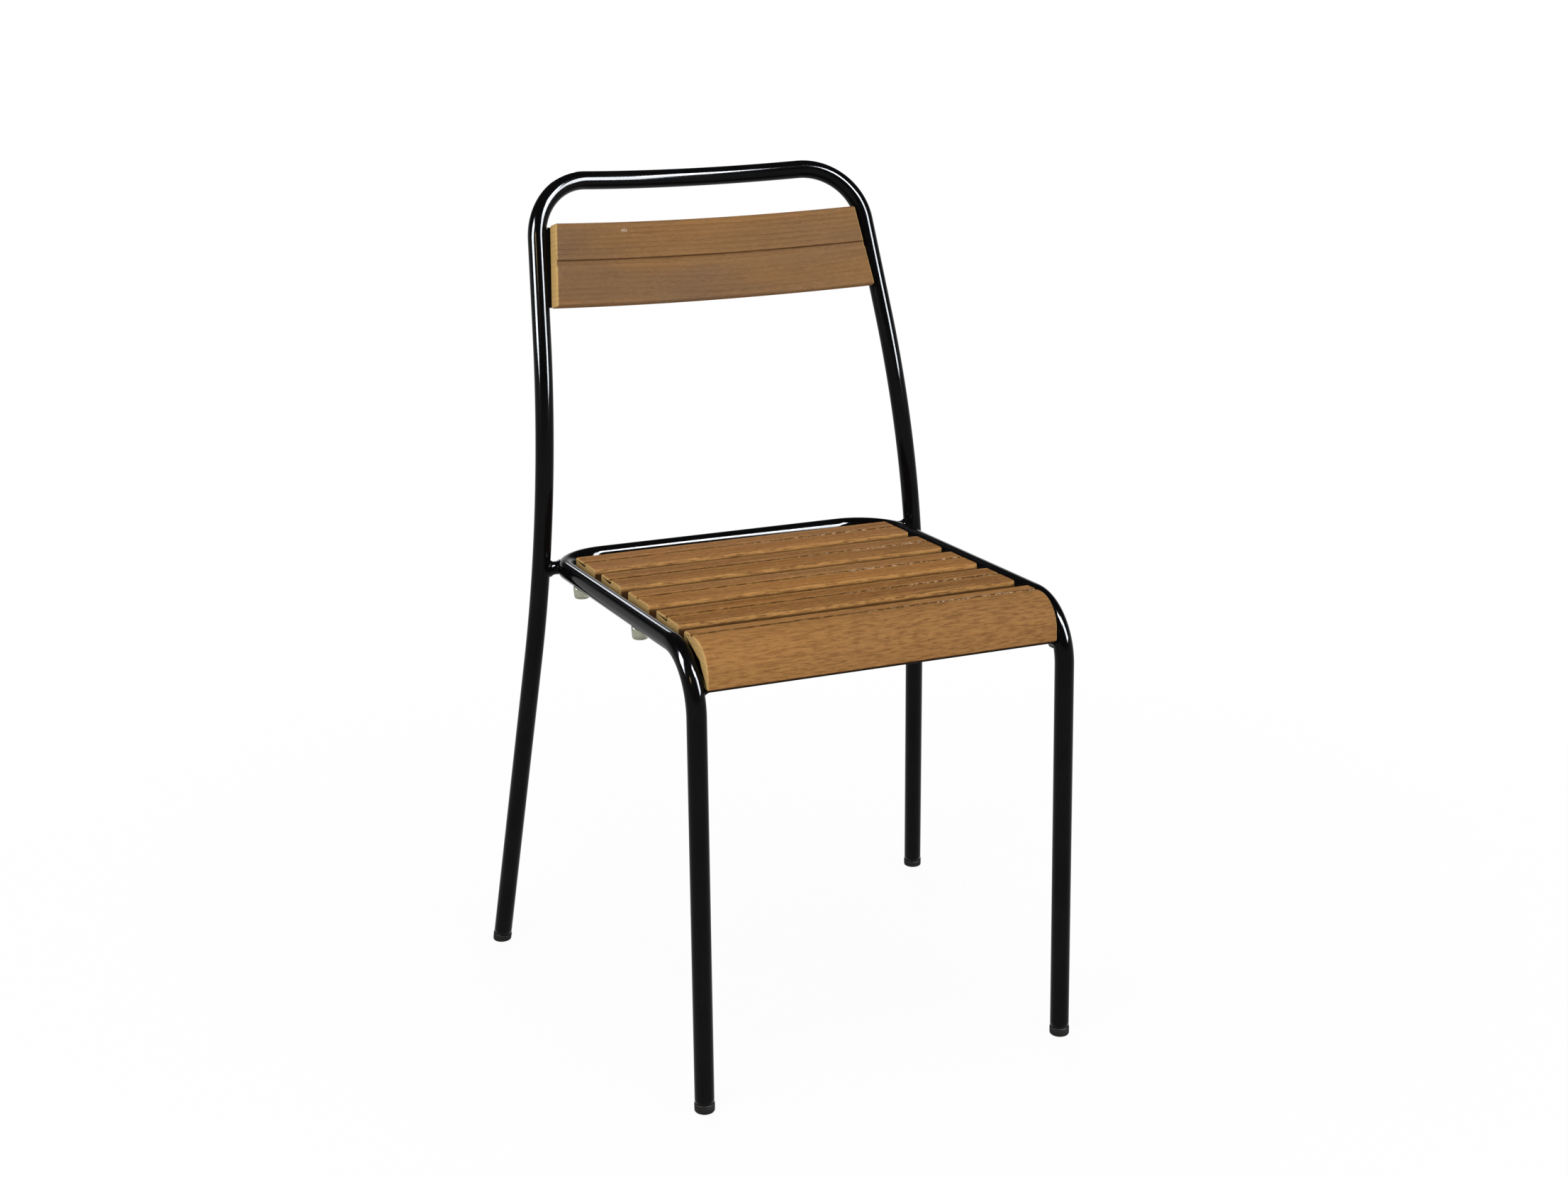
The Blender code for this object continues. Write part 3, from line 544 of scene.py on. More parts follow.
def inset(outline, depth):
    """Every point of a clockwise outline moved inwards, square to its edges."""
    run = unit(np.roll(outline, -1, axis=0) - outline)
    after = np.stack([run[:, 1], -run[:, 0]], axis=1)
    before = np.roll(after, 1, axis=0)
    reach = depth / (1 + (after * before).sum(axis=1))
    return outline + (after + before) * reach[:, None]


def board_rows(outline, half, end_round, place, stations):
    """Rings of a board: its outline along X, drawn in on a quarter round at both ends.

    Returns the rings' points and, for each ring, how much it belongs to the cut end.
    """
    turn = np.radians(np.linspace(0.0, 90.0, END_RINGS))
    x_end = np.append(half - end_round * (1 - np.sin(turn)), half)
    insets = np.append(end_round * (1 - np.cos(turn)), end_round + END_STEP_IN)
    ends = np.append(np.clip((turn - CUT_FROM) / CUT_OVER, 0.0, 1.0), 1.0)
    inner = np.linspace(-x_end[0], x_end[0], stations)
    flat = np.zeros(stations - 2)
    xs = np.concatenate([-x_end[::-1], inner[1:-1], x_end])
    depth = np.concatenate([insets[::-1], flat, insets])
    cut = np.concatenate([ends[::-1], flat, ends])
    return np.array([place(x, inset(outline, d)) for x, d in zip(xs, depth)]), cut


def on_curve(outline):
    """Which points of an outline lie on its curved edges."""
    run = np.linalg.norm(np.roll(outline, -1, axis=0) - outline, axis=1)
    return np.minimum(run, np.roll(run, 1)) < CURVE_STEP


# Node groups and materials


class Tree:
    """Short ways to add and link nodes in one node tree."""

    def __init__(self, tree):
        self.tree = tree

    def feed(self, node, inputs):
        """Links or sets a node's inputs."""
        for key, value in inputs.items():
            if isinstance(value, bpy.types.NodeSocket):
                self.tree.links.new(value, node.inputs[key])
            else:
                node.inputs[key].default_value = value

    def add(self, kind, inputs=None, **settings):
        """A new node with its settings and inputs."""
        node = self.tree.nodes.new(kind)
        for key, value in settings.items():
            setattr(node, key, value)
        self.feed(node, inputs or {})
        return node

    def math(self, operation, a, b=None, c=None, clamp=False):
        """One sum on values."""
        values = {i: v for i, v in enumerate((a, b, c)) if v is not None}
        return self.add("ShaderNodeMath", values, operation=operation,
                        use_clamp=clamp).outputs[0]

    def times(self, value, *others):
        """Values multiplied together."""
        for other in others:
            value = self.math("MULTIPLY", value, other)
        return value

    def mix(self, factor, a, b, blend="MIX"):
        """Colour a turned into colour b."""
        a, b = (c if isinstance(c, bpy.types.NodeSocket) else (*c, 1.0) for c in (a, b))
        return self.add("ShaderNodeMix", {0: factor, 6: a, 7: b}, data_type="RGBA",
                        blend_type=blend).outputs[2]

    def lay(self, base, colour, *strengths):
        """A colour laid over a base, as strongly as the strengths multiplied."""
        return self.mix(self.times(*strengths), base, colour)

    def noise(self, vector, scale, detail=3.0, rough=0.5):
        """Cloudy noise, from 0 to 1."""
        return self.add("ShaderNodeTexNoise", {
            "Vector": vector, "Scale": scale, "Detail": detail,
            "Roughness": rough}).outputs["Fac"]

    def grain(self, vector, along, across, detail, rough=0.5):
        """Noise with its own scale along X and across it."""
        stretched = self.add("ShaderNodeVectorMath", {0: vector, 1: (along, across, across)},
                             operation="MULTIPLY").outputs[0]
        return self.noise(stretched, 1.0, detail, rough)

    def ramp(self, value, low, high):
        """0 at low, 1 at high, and straight between them."""
        return self.add("ShaderNodeMapRange", {
            "Value": value, "From Min": low, "From Max": high}, clamp=True).outputs[0]

    def spot(self):
        """The shaded point in its object's own coordinates."""
        return self.add("ShaderNodeTexCoord").outputs["Object"]

    def split(self, vector):
        """A vector's X, Y and Z."""
        return self.add("ShaderNodeSeparateXYZ", {0: vector}).outputs

    def mark(self, name):
        """The value of a mark that a piece carries on its points."""
        return self.add("ShaderNodeAttribute", attribute_name=name).outputs["Fac"]

    def finish(self, shader, height, distance, inputs):
        """Feeds a shader and bumps its surface by a height."""
        bump = self.add("ShaderNodeBump", {"Height": height, "Distance": distance})
        self.feed(shader, {"Normal": bump.outputs[0], **inputs})


def group_tree(name, settings, results):
    """A node group from a point and settings: its tree, its inputs and its output node."""
    group = bpy.data.node_groups.new(name, "ShaderNodeTree")
    face = group.interface
    face.new_socket(name="Vector", in_out="INPUT", socket_type="NodeSocketVector")
    for key, value in settings.items():
        socket = face.new_socket(name=key, in_out="INPUT", socket_type="NodeSocketFloat")
        socket.default_value = value
    for key in results:
        face.new_socket(name=key, in_out="OUTPUT", socket_type="NodeSocketFloat")
    t = Tree(group)
    return t, t.add("NodeGroupInput").outputs, t.add("NodeGroupOutput")


def wood_figure(name):
    """Growth lines, fibres and pores of a board sawn along the trunk, from a 3-D point.

    The trunk runs along X. The distance from it, shifted by a slow noise and
    divided by the ring spacing, gives a saw wave whose power is the dark late
    wood. Noises stretched along the trunk give everything else.
    """
    t, ins, out = group_tree(name, {"Ring Spacing": 0.004, "Warp": 0.006},
                             ("Rings", "Fibre", "Pores", "Tone", "Streaks"))
    point = ins["Vector"]
    _, y, z = t.split(point)
    radius = t.math("SQRT", t.math("ADD", t.times(y, y), t.times(z, z)))
    warp = t.grain(point, 2.2, 14.0, 2.0, 0.45)
    shift = t.times(t.math("SUBTRACT", warp, 0.5), ins["Warp"])
    turns = t.math("DIVIDE", t.math("ADD", radius, shift), ins["Ring Spacing"])
    saw = t.math("FRACT", turns)
    late = t.math("POWER", saw, 2.6)
    fall = t.ramp(saw, 1.0, 0.93)
    strength = t.ramp(t.grain(point, 1.0, 60.0, 1.0), 0.25, 0.75)
    dashes = t.grain(point, 110.0, 1500.0, 1.0)
    crowd = t.ramp(t.grain(point, 6.0, 120.0, 2.0), 0.35, 0.75)
    limit = t.math("SUBTRACT", 0.70, t.times(crowd, 0.16))
    t.feed(out, {
        "Rings": t.times(late, fall, strength),
        "Fibre": t.grain(point, 28.0, 900.0, 4.0, 0.6),
        "Pores": t.math("MULTIPLY", t.math("SUBTRACT", dashes, limit), 12.0, clamp=True),
        "Tone": t.grain(point, 4.0, 22.0, 3.0),
        "Streaks": t.grain(point, 10.0, 380.0, 4.0, 0.7)})
    return t.tree


def paint_skin(name):
    """Powder coat: soft orange peel, fine grit and faint patches of duller gloss."""
    t, ins, out = group_tree(name, {"Peel Scale": 420.0}, ("Height", "Patches", "Specks"))
    point = ins["Vector"]
    peel = t.noise(point, ins["Peel Scale"], 1.5, 0.4)
    grit = t.noise(point, 1500.0, 1.0)
    t.feed(out, {
        "Height": t.math("MULTIPLY_ADD", grit, 0.10, peel),
        "Patches": t.noise(point, 18.0, 3.0, 0.55),
        "Specks": t.ramp(t.noise(point, 900.0, 0.0), 0.80, 0.90)})
    return t.tree


def use_group(t, make, inputs):
    """The outputs of a shared node group, which is made on its first use."""
    group = bpy.data.node_groups.get(make.__name__) or make(make.__name__)
    return t.add("ShaderNodeGroup", inputs, node_tree=group).outputs


def new_look(name):
    """An empty material with one Principled shader, and its tree."""
    look = bpy.data.materials.new(name)
    look.use_nodes = True
    return look, Tree(look.node_tree), look.node_tree.nodes["Principled BSDF"]


def shared(name, make, **facts):
    """A material that is made once and then used again."""
    return bpy.data.materials.get(name) or make(name, **facts)


def wood_look(name, seed, trunk, tilt, warmth, spacing, tint, streaky, ragged_and_sheen,
              ripple=0.0, nick=None):
    """Oiled hardwood of one board, cut at its own place in the trunk.

    streaky is how much its fibres, pores and streaks show, the next setting how ragged the
    painted shade in its groove is and how strong the painted sheen there and the painted
    highlight on its edges are, and ripple how much chatter crosses its face.
    """
    look, t, shader = new_look(name)
    shade = colours()
    spot = t.spot()
    place = t.split(spot)
    turned = t.add("ShaderNodeMapping", {
        "Vector": spot, "Location": (seed * 0.37, *trunk),
        "Rotation": (0.0, *tilt)}).outputs[0]
    figure = use_group(t, wood_figure, {
        "Vector": turned, "Ring Spacing": spacing, "Warp": 0.010})

    # the face: patches, growth lines, streaks, fibres, pores and flecks
    base = t.mix(t.ramp(figure["Tone"], 0.30, 0.72), shade.wood_grey, shade.wood)
    base = t.mix(warmth, base, t.mix(0.5, base, shade.wood))
    base = t.lay(base, shade.wood_dark, figure["Rings"], 0.60)
    base = t.lay(base, shade.wood_dark, t.ramp(figure["Streaks"], 0.50, 0.78), streaky)
    base = t.lay(base, shade.golden, t.ramp(figure["Streaks"], 0.48, 0.22), 0.35 * streaky)
    base = t.lay(base, shade.wood_dark, t.ramp(figure["Fibre"], 0.30, 0.75),
                 0.14 + 0.36 * streaky)
    base = t.lay(base, PORE_BROWN, figure["Pores"], 0.08 + 0.72 * streaky)
    flecks = t.ramp(t.grain(turned, 170.0, 620.0, 2.0, 0.6), 0.56, 0.70)
    base = t.lay(base, shade.golden, flecks, 0.03 + 0.44 * streaky)
    base = t.mix(1.0, base, tint, "MULTIPLY")

    # growth lines arched round one point of the face, and fine chatter over them
    if ripple:
        far = t.times(t.math("SUBTRACT", place[0], ARCH_AT[0]), 1.0 / ARCH_STRETCH)
        up = t.math("SUBTRACT", place[2], ARCH_AT[1])
        arch = t.math("SQRT", t.math("ADD", t.times(far, far), t.times(up, up)))
        bent = t.math("MULTIPLY_ADD", t.noise(spot, 28.0, 2.0), 0.010, arch)
        wave = t.math("SINE", t.times(bent, 2 * math.pi / ARCH_SPACING))
        base = t.lay(base, shade.wood_dark, t.ramp(wave, -0.2, 0.9),
                     t.ramp(arch, 0.060, 0.020), 0.22)
        chatter = t.grain(turned, 900.0, 170.0, 1.0)
        base = t.lay(base, shade.wood_dark, t.ramp(chatter, 0.36, 0.70), ripple)

    # painted highlight on the eased edges and on the upper part of the flanks, broken up by a
    # noise
    highlight_breaks = t.ramp(t.grain(spot, 70.0, 600.0, 3.0, 0.7), 0.40, 0.56)
    base = t.lay(base, shade.golden, t.mark("edge"), highlight_breaks, 0.10 + 0.20 * ragged_and_sheen)
    flank = t.mark("flank")
    base = t.lay(base, shade.golden, t.ramp(flank, 0.02, 0.08), t.ramp(flank, 0.28, 0.18),
                 t.math("MULTIPLY_ADD", highlight_breaks, 0.80, 0.08))

    # groove: painted shade, ragged where fibres are torn, and a pale painted sheen towards the
    # right
    groove = t.mark("groove")
    torn = t.ramp(t.grain(spot, 130.0, 500.0, 2.0, 0.6), 0.36, 0.56)
    torn = t.math("MULTIPLY_ADD", torn, ragged_and_sheen, 0.55 * (1.0 - ragged_and_sheen))
    base = t.lay(base, GROOVE_SHADE_BROWN, groove, t.math("MULTIPLY_ADD", torn, 0.55, 0.35))
    groove_sheen = t.ramp(t.grain(spot, 210.0, 700.0, 2.0, 0.6), 0.52, 0.62)
    base = t.lay(base, GROOVE_SHEEN_PALE, groove, groove_sheen, t.ramp(place[0], -0.03, 0.09), 0.85 * ragged_and_sheen)

    # a nick in the face: an ellipsoid round (x, z) with a ragged edge
    if nick:
        (x, z), halves = nick
        squares = []
        for axis, at in enumerate((x, back_point(x, z, 0.0)[1], z)):
            off = t.math("DIVIDE", t.math("SUBTRACT", place[axis], at), halves[axis])
            squares.append(t.times(off, off))
        away = t.math("ADD", t.math("ADD", *squares[:2]), squares[2])
        away = t.math("MULTIPLY_ADD", t.noise(spot, 620.0, 2.0, 0.6), 4.0, away)
        base = t.lay(base, RAW_NICK, t.ramp(away, 2.35, 1.75), 0.90)

    # cut ends, and painted shade on the low part of the flanks and of the cut ends
    end = t.mark("end")
    cut = t.lay(shade.end_grain, shade.wood_dark, figure["Rings"], 0.35)
    cut = t.lay(cut, shade.wood_dark,
                t.ramp(t.noise(spot, 1400.0, 2.0, 0.6), 0.35, 0.70), 0.20)
    base = t.mix(end, base, cut)
    low_shade = t.mix(end, t.ramp(flank, 0.20, 0.34), t.ramp(flank, 0.50, 0.95))
    base = t.lay(base, LOW_SHADE_BROWN, low_shade, t.math("MULTIPLY_ADD", end, -0.30, 0.85))

    rough = t.math("MULTIPLY_ADD", figure["Fibre"], 0.20, 0.48)
    relief = t.math("SUBTRACT", t.times(figure["Fibre"], 0.5), figure["Pores"])
    relief = t.math("SUBTRACT", relief, t.times(groove, torn))
    t.finish(shader, relief, 0.00016, {
        "Base Color": base, "Roughness": t.math("MULTIPLY_ADD", end, 0.12, rough),
        "IOR": 1.45, "Specular IOR Level": 0.0})
    return look


def paint_look(name):
    """Black semi-gloss powder coat."""
    look, t, shader = new_look(name)
    skin = use_group(t, paint_skin, {"Vector": t.spot()})
    shade = colours()
    lighter = tuple(c * 1.8 for c in shade.paint)
    base = t.mix(t.ramp(skin["Patches"], 0.35, 0.70), shade.paint, lighter)
    t.finish(shader, skin["Height"], 0.0000005, {
        "Base Color": t.lay(base, (0.030, 0.028, 0.026), skin["Specks"], 0.5),
        "Roughness": t.math("MULTIPLY_ADD", skin["Patches"], 0.05, 0.07),
        "IOR": 1.5, "Specular IOR Level": 0.06})
    return look


def plastic_look(name):
    """Moulded black plastic with a fine spark-eroded grain and scuffs."""
    look, t, shader = new_look(name)
    spot = t.spot()
    colour = tuple(colours().feet)
    fine = t.noise(spot, 2200.0, 2.0, 0.6)
    rubbed = t.add("ShaderNodeVectorMath", {0: spot, 1: (300.0, 300.0, 60.0)},
                   operation="MULTIPLY").outputs[0]
    scuff = t.ramp(t.noise(rubbed, 1.0, 4.0, 0.7), 0.55, 0.75)
    dusty = tuple(min(1.0, c * 2.2 + 0.012) for c in colour)
    t.finish(shader, fine, 0.00005, {
        "Base Color": t.lay(colour, dusty, scuff, 0.5),
        "Roughness": t.math("MULTIPLY_ADD", fine, 0.20, 0.42),
        "Specular IOR Level": 0.06})
    return look


def clear_look(name):
    """Milky clear plastic of the stacking bumpers."""
    look, t, shader = new_look(name)
    cloud = t.noise(t.spot(), 260.0, 2.0)
    tint = tuple(colours().bumper)
    warm = tuple(c * f for c, f in zip(tint, (0.86, 0.86, 0.78)))
    t.finish(shader, cloud, 0.00008, {
        "Base Color": t.mix(cloud, tint, warm),
        "Roughness": t.math("MULTIPLY_ADD", cloud, 0.12, 0.20),
        "Transmission Weight": 0.55, "IOR": 1.42})
    return look


def steel_look(name):
    """Zinc plated screw steel with dull spots."""
    look, t, shader = new_look(name)
    dull = t.noise(t.spot(), 700.0, 3.0, 0.6)
    t.finish(shader, dull, 0.00004, {
        "Base Color": t.mix(dull, (0.52, 0.52, 0.50), (0.36, 0.35, 0.33)),
        "Roughness": t.math("MULTIPLY_ADD", dull, 0.25, 0.22), "Metallic": 1.0})
    return look


# Operators


class ChairOperator(bpy.types.Operator):
    """Shared options of the chair's operators."""
    bl_options = {"REGISTER", "UNDO"}


def painted(name, rows, node, sharp=None):
    """One piece in the frame's paint."""
    make_piece(name, rows, shared("black_powder_coat", paint_look), [node],
               sharp=sharp)


class CHAIR_OT_tubes(ChairOperator):
    """Seat tube and rear tube: round sections carried along the bent centrelines"""
    bl_idname = "chair.tubes"
    bl_label = "Frame tubes"

    def execute(self, context):
        size = sizes()
        for name, path, node in (("seat_tube", seat_path, "seat_frame_tube"),
                                 ("rear_tube", rear_path, "rear_frame_tube")):
            painted(name, open_tube(path(size.path_step), size.tube_sides), node, 50)
        return {"FINISHED"}


def rear_centre(z):
    """Centre of the right side of the rear tube at a height below the back board."""
    path = rear_path(0.004)
    side = path[:len(path) // 2]
    side = side[:int(np.argmax(side[:, 2] > BOARD_LOW_Z))]
    return np.array([np.interp(z, side[:, 2], side[:, i]) for i in range(3)])


def seat_centre_x(y):
    """Centre of the right side rail, across, at Y, also in its rear bend."""
    past = max(0.0, y - (REAR_RAIL_Y - REAR_BEND_R + OFFSET[1]))
    return RAIL_X - (REAR_BEND_R - math.sqrt(REAR_BEND_R ** 2 - past ** 2))


class CHAIR_OT_spacers(ChairOperator):
    """Waisted stubs between the rails and the uprights, swollen by scalloped welds"""
    bl_idname = "chair.spacers"
    bl_label = "Welded spacers"

    def execute(self, context):
        """The radius grows from the middle as a power of the way out.

        Each weld adds a bell curve along the stub times a rectified sine round
        it. The ends follow both tubes: the root of a tube's radius squared less
        the distance off its middle squared.
        """
        outer = rear_centre(rail_z(KNEE_Y + REAR_RAKE * (KNEE_Z - REAR_CORNER[2])))
        inner_x = seat_centre_x(outer[1])
        a = circle(SPACER_SIDES)
        t = np.linspace(0.0, 1.0, SPACER_RINGS)[:, None]
        radius = SPACER_MID_R + (SPACER_END_R - SPACER_MID_R) * np.abs(2 * t - 1) ** SPACER_WAIST
        for at, scallops, phase in BEADS:
            bead = np.abs(np.sin(a * scallops / 2 + phase)) ** 0.7
            radius = radius + BEAD_RISE * np.exp(-((t - at) / BEAD_SPREAD) ** 2) * bead
        y, z = radius * np.cos(a), radius * np.sin(a)
        reach = (TUBE_R - BEAD_IN) ** 2
        start = inner_x + np.sqrt(np.clip(reach - z ** 2, 0.0, None))
        end = outer[0] - np.sqrt(np.clip(reach - y ** 2, 0.0, None))
        rows = np.stack([start + (end - start) * t, outer[1] + y, outer[2] + z], axis=-1)
        for side, hand in SIDES:
            painted("spacer_stub_" + hand, rows * (side, 1.0, 1.0), "spacer_" + hand)
        return {"FINISHED"}


def bar_section(width, thick):
    """Outline of a flat bar's section, centred, with rounded edges."""
    r = sizes().metal_edge
    w, h = width / 2 - r, thick / 2 - r
    return np.vstack([arc((-w, h), r, 180, 90, 3), arc((w, h), r, 90, 0, 3),
                      arc((w, -h), r, 0, -90, 3), arc((-w, -h), r, -90, -180, 3)])


class CHAIR_OT_bars(ChairOperator):
    """Cross bar with its flared ends, and the two bars that carry the slats"""
    bl_idname = "chair.bars"
    bl_label = "Bars under the seat"

    def execute(self, context):
        self.cross_bar()
        self.support_bars()
        return {"FINISHED"}

    def cross_bar(self):
        """Rounded rectangle along X whose lower side falls on a quarter circle at the legs."""
        top = -LIP_DROP - GAP
        front = FRONT_FACE - CROSS_SETBACK
        end_x = RAIL_X - TUBE_R + WELD_IN
        a = np.linspace(0.0, math.pi / 2, BEND_RINGS)
        narrow = CROSS_NARROW * np.linspace(0.0, 1.0, BEND_RINGS) ** 1.5
        xs = np.append(end_x - CROSS_FLARE * (1 - np.sin(a)), end_x + CROSS_TUCK[0])
        drop = np.append(CROSS_FLARE * (1 - np.cos(a)), CROSS_FLARE + CROSS_TUCK[1])
        half = []
        for x, fall, less in zip(xs, drop, np.append(narrow, CROSS_NARROW)):
            width, thick = CROSS_WIDTH - less, CROSS_THICK + fall
            section = bar_section(width, thick)
            half.append(seat_point(x, front - width / 2 + section[:, 0],
                                   top - thick / 2 + section[:, 1]))
        half = np.array(half)
        painted("cross_bar", np.concatenate([half[::-1] * FLIP, half]), "front_cross_bar", 40)

    def support_bars(self):
        """Rounded rectangle carried along the seat and down round one bend."""
        middle = -SLAT_THICK - GAP - SUPPORT_THICK / 2
        rear = (SLAT_REAR_Y - REAR_RAIL_Y) / math.cos(RAIL_TILT) - SUPPORT_LAP
        front = FRONT_FACE - LIP_THICK - GAP - SUPPORT_THICK / 2
        r = SUPPORT_BEND - SUPPORT_THICK / 2
        run = np.linspace(rear, front - r, BAR_RINGS, endpoint=False)
        a = np.linspace(math.pi / 2, 0.0, BEND_RINGS)
        s = np.concatenate([run, front - r + r * np.cos(a), [front]])
        h = np.concatenate([np.full(len(run), middle), middle - r + r * np.sin(a), [-LIP_DROP]])
        tangent = unit(np.stack([np.gradient(s), np.gradient(h)], axis=1))
        section = bar_section(SUPPORT_WIDTH, SUPPORT_THICK)
        ring_s = s[:, None] - tangent[:, 1:] * section[None, :, 1]
        ring_h = h[:, None] + tangent[:, :1] * section[None, :, 1]
        for side, hand in SIDES:
            x = np.broadcast_to(side * SUPPORT_X + section[:, 0], ring_s.shape)
            painted("slat_bearer_" + hand, seat_point(x, ring_s, ring_h),
                    "support_bar_" + hand, 40)


def make_board(name, outline, half, place, stations, groove_at, flank):
    """One wooden board with its marks: cut end, edge, groove and depth down its flanks.

    The edge mark takes a painted highlight, the groove mark painted shade and sheen, and the
    depth down the flanks painted light and shade. Of the back board's groove only the upper lip
    is marked, for its painted shade.
    """
    size = sizes()
    rows, cut = board_rows(outline, half, size.end_round, place, stations)
    off = outline[:, 0] - groove_at
    groove = (np.abs(off) < GROOVE_MARK * size.groove_width) & (outline[:, 1] > -TOP_DEPTH)
    if name == "back_board":
        groove &= off > GROOVE_LIP * size.groove_width
    marks = {"end": np.repeat(cut, len(outline))}
    for mark, values in (("edge", on_curve(outline) & ~groove), ("groove", groove),
                         ("flank", flank)):
        marks[mark] = np.tile(values, len(cut))
    look = shared("wood_" + name, wood_look, **BOARDS[name])
    make_piece(name + "_wood", rows, look, [name], marks=marks)


class CHAIR_OT_slats(ChairOperator):
    """Seat slats: a rounded, grooved outline carried across the chair"""
    bl_idname = "chair.slats"
    bl_label = "Seat slats"

    def execute(self, context):
        size = sizes()
        shape = (size.edge_round, size.groove_width, size.groove_depth)
        flat = board_outline(SLAT_WIDTH, SLAT_THICK, SLAT_GROOVE, *shape)
        for i in range(SLAT_COUNT):
            self.slat("seat_slat_%d" % (i + 1), flat, SLAT_HALF, i * SLAT_PITCH, SLAT_GROOVE,
                      self.flank(flat))
        front = front_outline(*shape)
        flank = self.flank(front)
        # no painted flank light or shade on the nose, and full painted shade along the lip's
        # lower edge
        flank[front[:, 0] > SLAT_THICK] = 0.0
        flank[front[:, 1] < LIP_SHADE - LIP_DROP] = 1.0
        self.slat("front_slat", front, SLAT_HALF + NOSE_EXTRA, FRONT_START, FRONT_GROOVE, flank)
        return {"FINISHED"}

    def flank(self, outline):
        """How far down the flank each point of an outline lies, from 0 to 1."""
        return np.clip(-outline[:, 1] / SLAT_THICK, 0.0, 1.0)

    def slat(self, name, outline, half, start, groove, flank):
        make_board(name, outline, half,
                   lambda x, ring: seat_point(x, start + ring[:, 0], ring[:, 1]),
                   SLAT_RINGS, groove, flank)


def board_half(z):
    """Half length of the back board at a height on the upright line."""
    share = (z - BOARD_LOW_Z) / BOARD_HEIGHT
    return BOARD_LOW_HALF + (BOARD_TOP_HALF - BOARD_LOW_HALF) * share


def back_point(x, z, behind):
    """Point of the bowed board: a parabola in plan, offset square to its face."""
    x, z, behind = (np.asarray(v, float)[..., None] for v in (x, z, behind))
    slope = 2 * BOARD_BOW * x / BOARD_LOW_HALF ** 2
    bow = BOARD_BOW * (1 - (x / BOARD_LOW_HALF) ** 2)
    line = np.array([0.0, 1.0, 0.0]) * (KNEE_Y + LEAN * (z - KNEE_Z))
    base = x * ACROSS + line + z * np.array([0.0, 0.0, 1.0]) + BACK_OUT * (bow - BOARD_AHEAD)
    return base + (BACK_OUT + slope * ACROSS) / np.hypot(1.0, slope) * behind + OFFSET


def upright_reach(z, behind):
    """How far out a plate behind the board goes before it enters the upright's wall."""
    side = REAR_FOOT_X - REAR_TAPER * z
    line_y = KNEE_Y + LEAN * (z - KNEE_Z)
    xs = np.linspace(board_half(BOARD_TOP_Z) - 0.01, side, REACH_STEPS)
    away = back_point(xs, z, behind) - OFFSET - np.array([side, line_y, z])
    gap = np.linalg.norm(away - (away @ UPRIGHT)[:, None] * UPRIGHT, axis=1)
    return xs[np.argmax(gap < TUBE_R - WELD_IN)]


class CHAIR_OT_back(ChairOperator):
    """Back board bowed between the uprights, and the welded plates behind its ends"""
    bl_idname = "chair.back"
    bl_label = "Back board"

    def execute(self, context):
        self.board()
        self.plates()
        return {"FINISHED"}

    def board(self):
        """The board's outline carried across, its ends sloped with the uprights."""
        size = sizes()
        outline = board_outline(BOARD_HEIGHT, BOARD_THICK, BOARD_GROOVE, size.edge_round,
                                size.groove_width, size.groove_depth)

        def place(x, ring):
            z = BOARD_LOW_Z + ring[:, 0]
            return back_point(x / BOARD_LOW_HALF * board_half(z), z, -ring[:, 1])

        make_board("back_board", outline, BOARD_LOW_HALF, place, BOARD_RINGS,
                   BOARD_GROOVE, np.zeros(len(outline)))

    def plates(self):
        """Rounded plate section carried from behind the board into the upright."""
        height = BRACKET_HEIGHT / math.hypot(1.0, LEAN)
        section = bar_section(height, BRACKET_THICK)
        z = BOARD_LOW_Z + BOARD_HEIGHT / 2 + section[:, 0]
        behind = BOARD_THICK + GAP + BRACKET_THICK / 2 - section[:, 1]
        reach = np.array([upright_reach(a, b) for a, b in zip(z, behind)])
        inner = board_half(BOARD_TOP_Z) - BRACKET_REACH
        x = inner + (reach - inner) * np.linspace(0.0, 1.0, PLATE_RINGS)[:, None]
        for side, hand in SIDES:
            rows = back_point(side * x, np.broadcast_to(z, x.shape),
                              np.broadcast_to(behind, x.shape))
            painted("back_plate_" + hand, rows, "back_bracket_" + hand, 40)


def square_to(axis):
    """Two directions square to an axis and to each other."""
    helper = np.array([0.0, 1.0, 0.0]) if abs(axis[1]) < 0.8 else ACROSS
    u = unit(np.cross(axis, helper))
    return u, np.cross(axis, u)


def turned(base, axis, along, radii):
    """Rings turned round an axis through base, each with its place along it and radius."""
    u, v = square_to(axis)
    a = circle(TURNED_SIDES)[:, None]
    along, radii = np.asarray(along)[:, None, None], np.asarray(radii)[:, None, None]
    return base + along * axis + radii * (np.cos(a) * u + np.sin(a) * v)


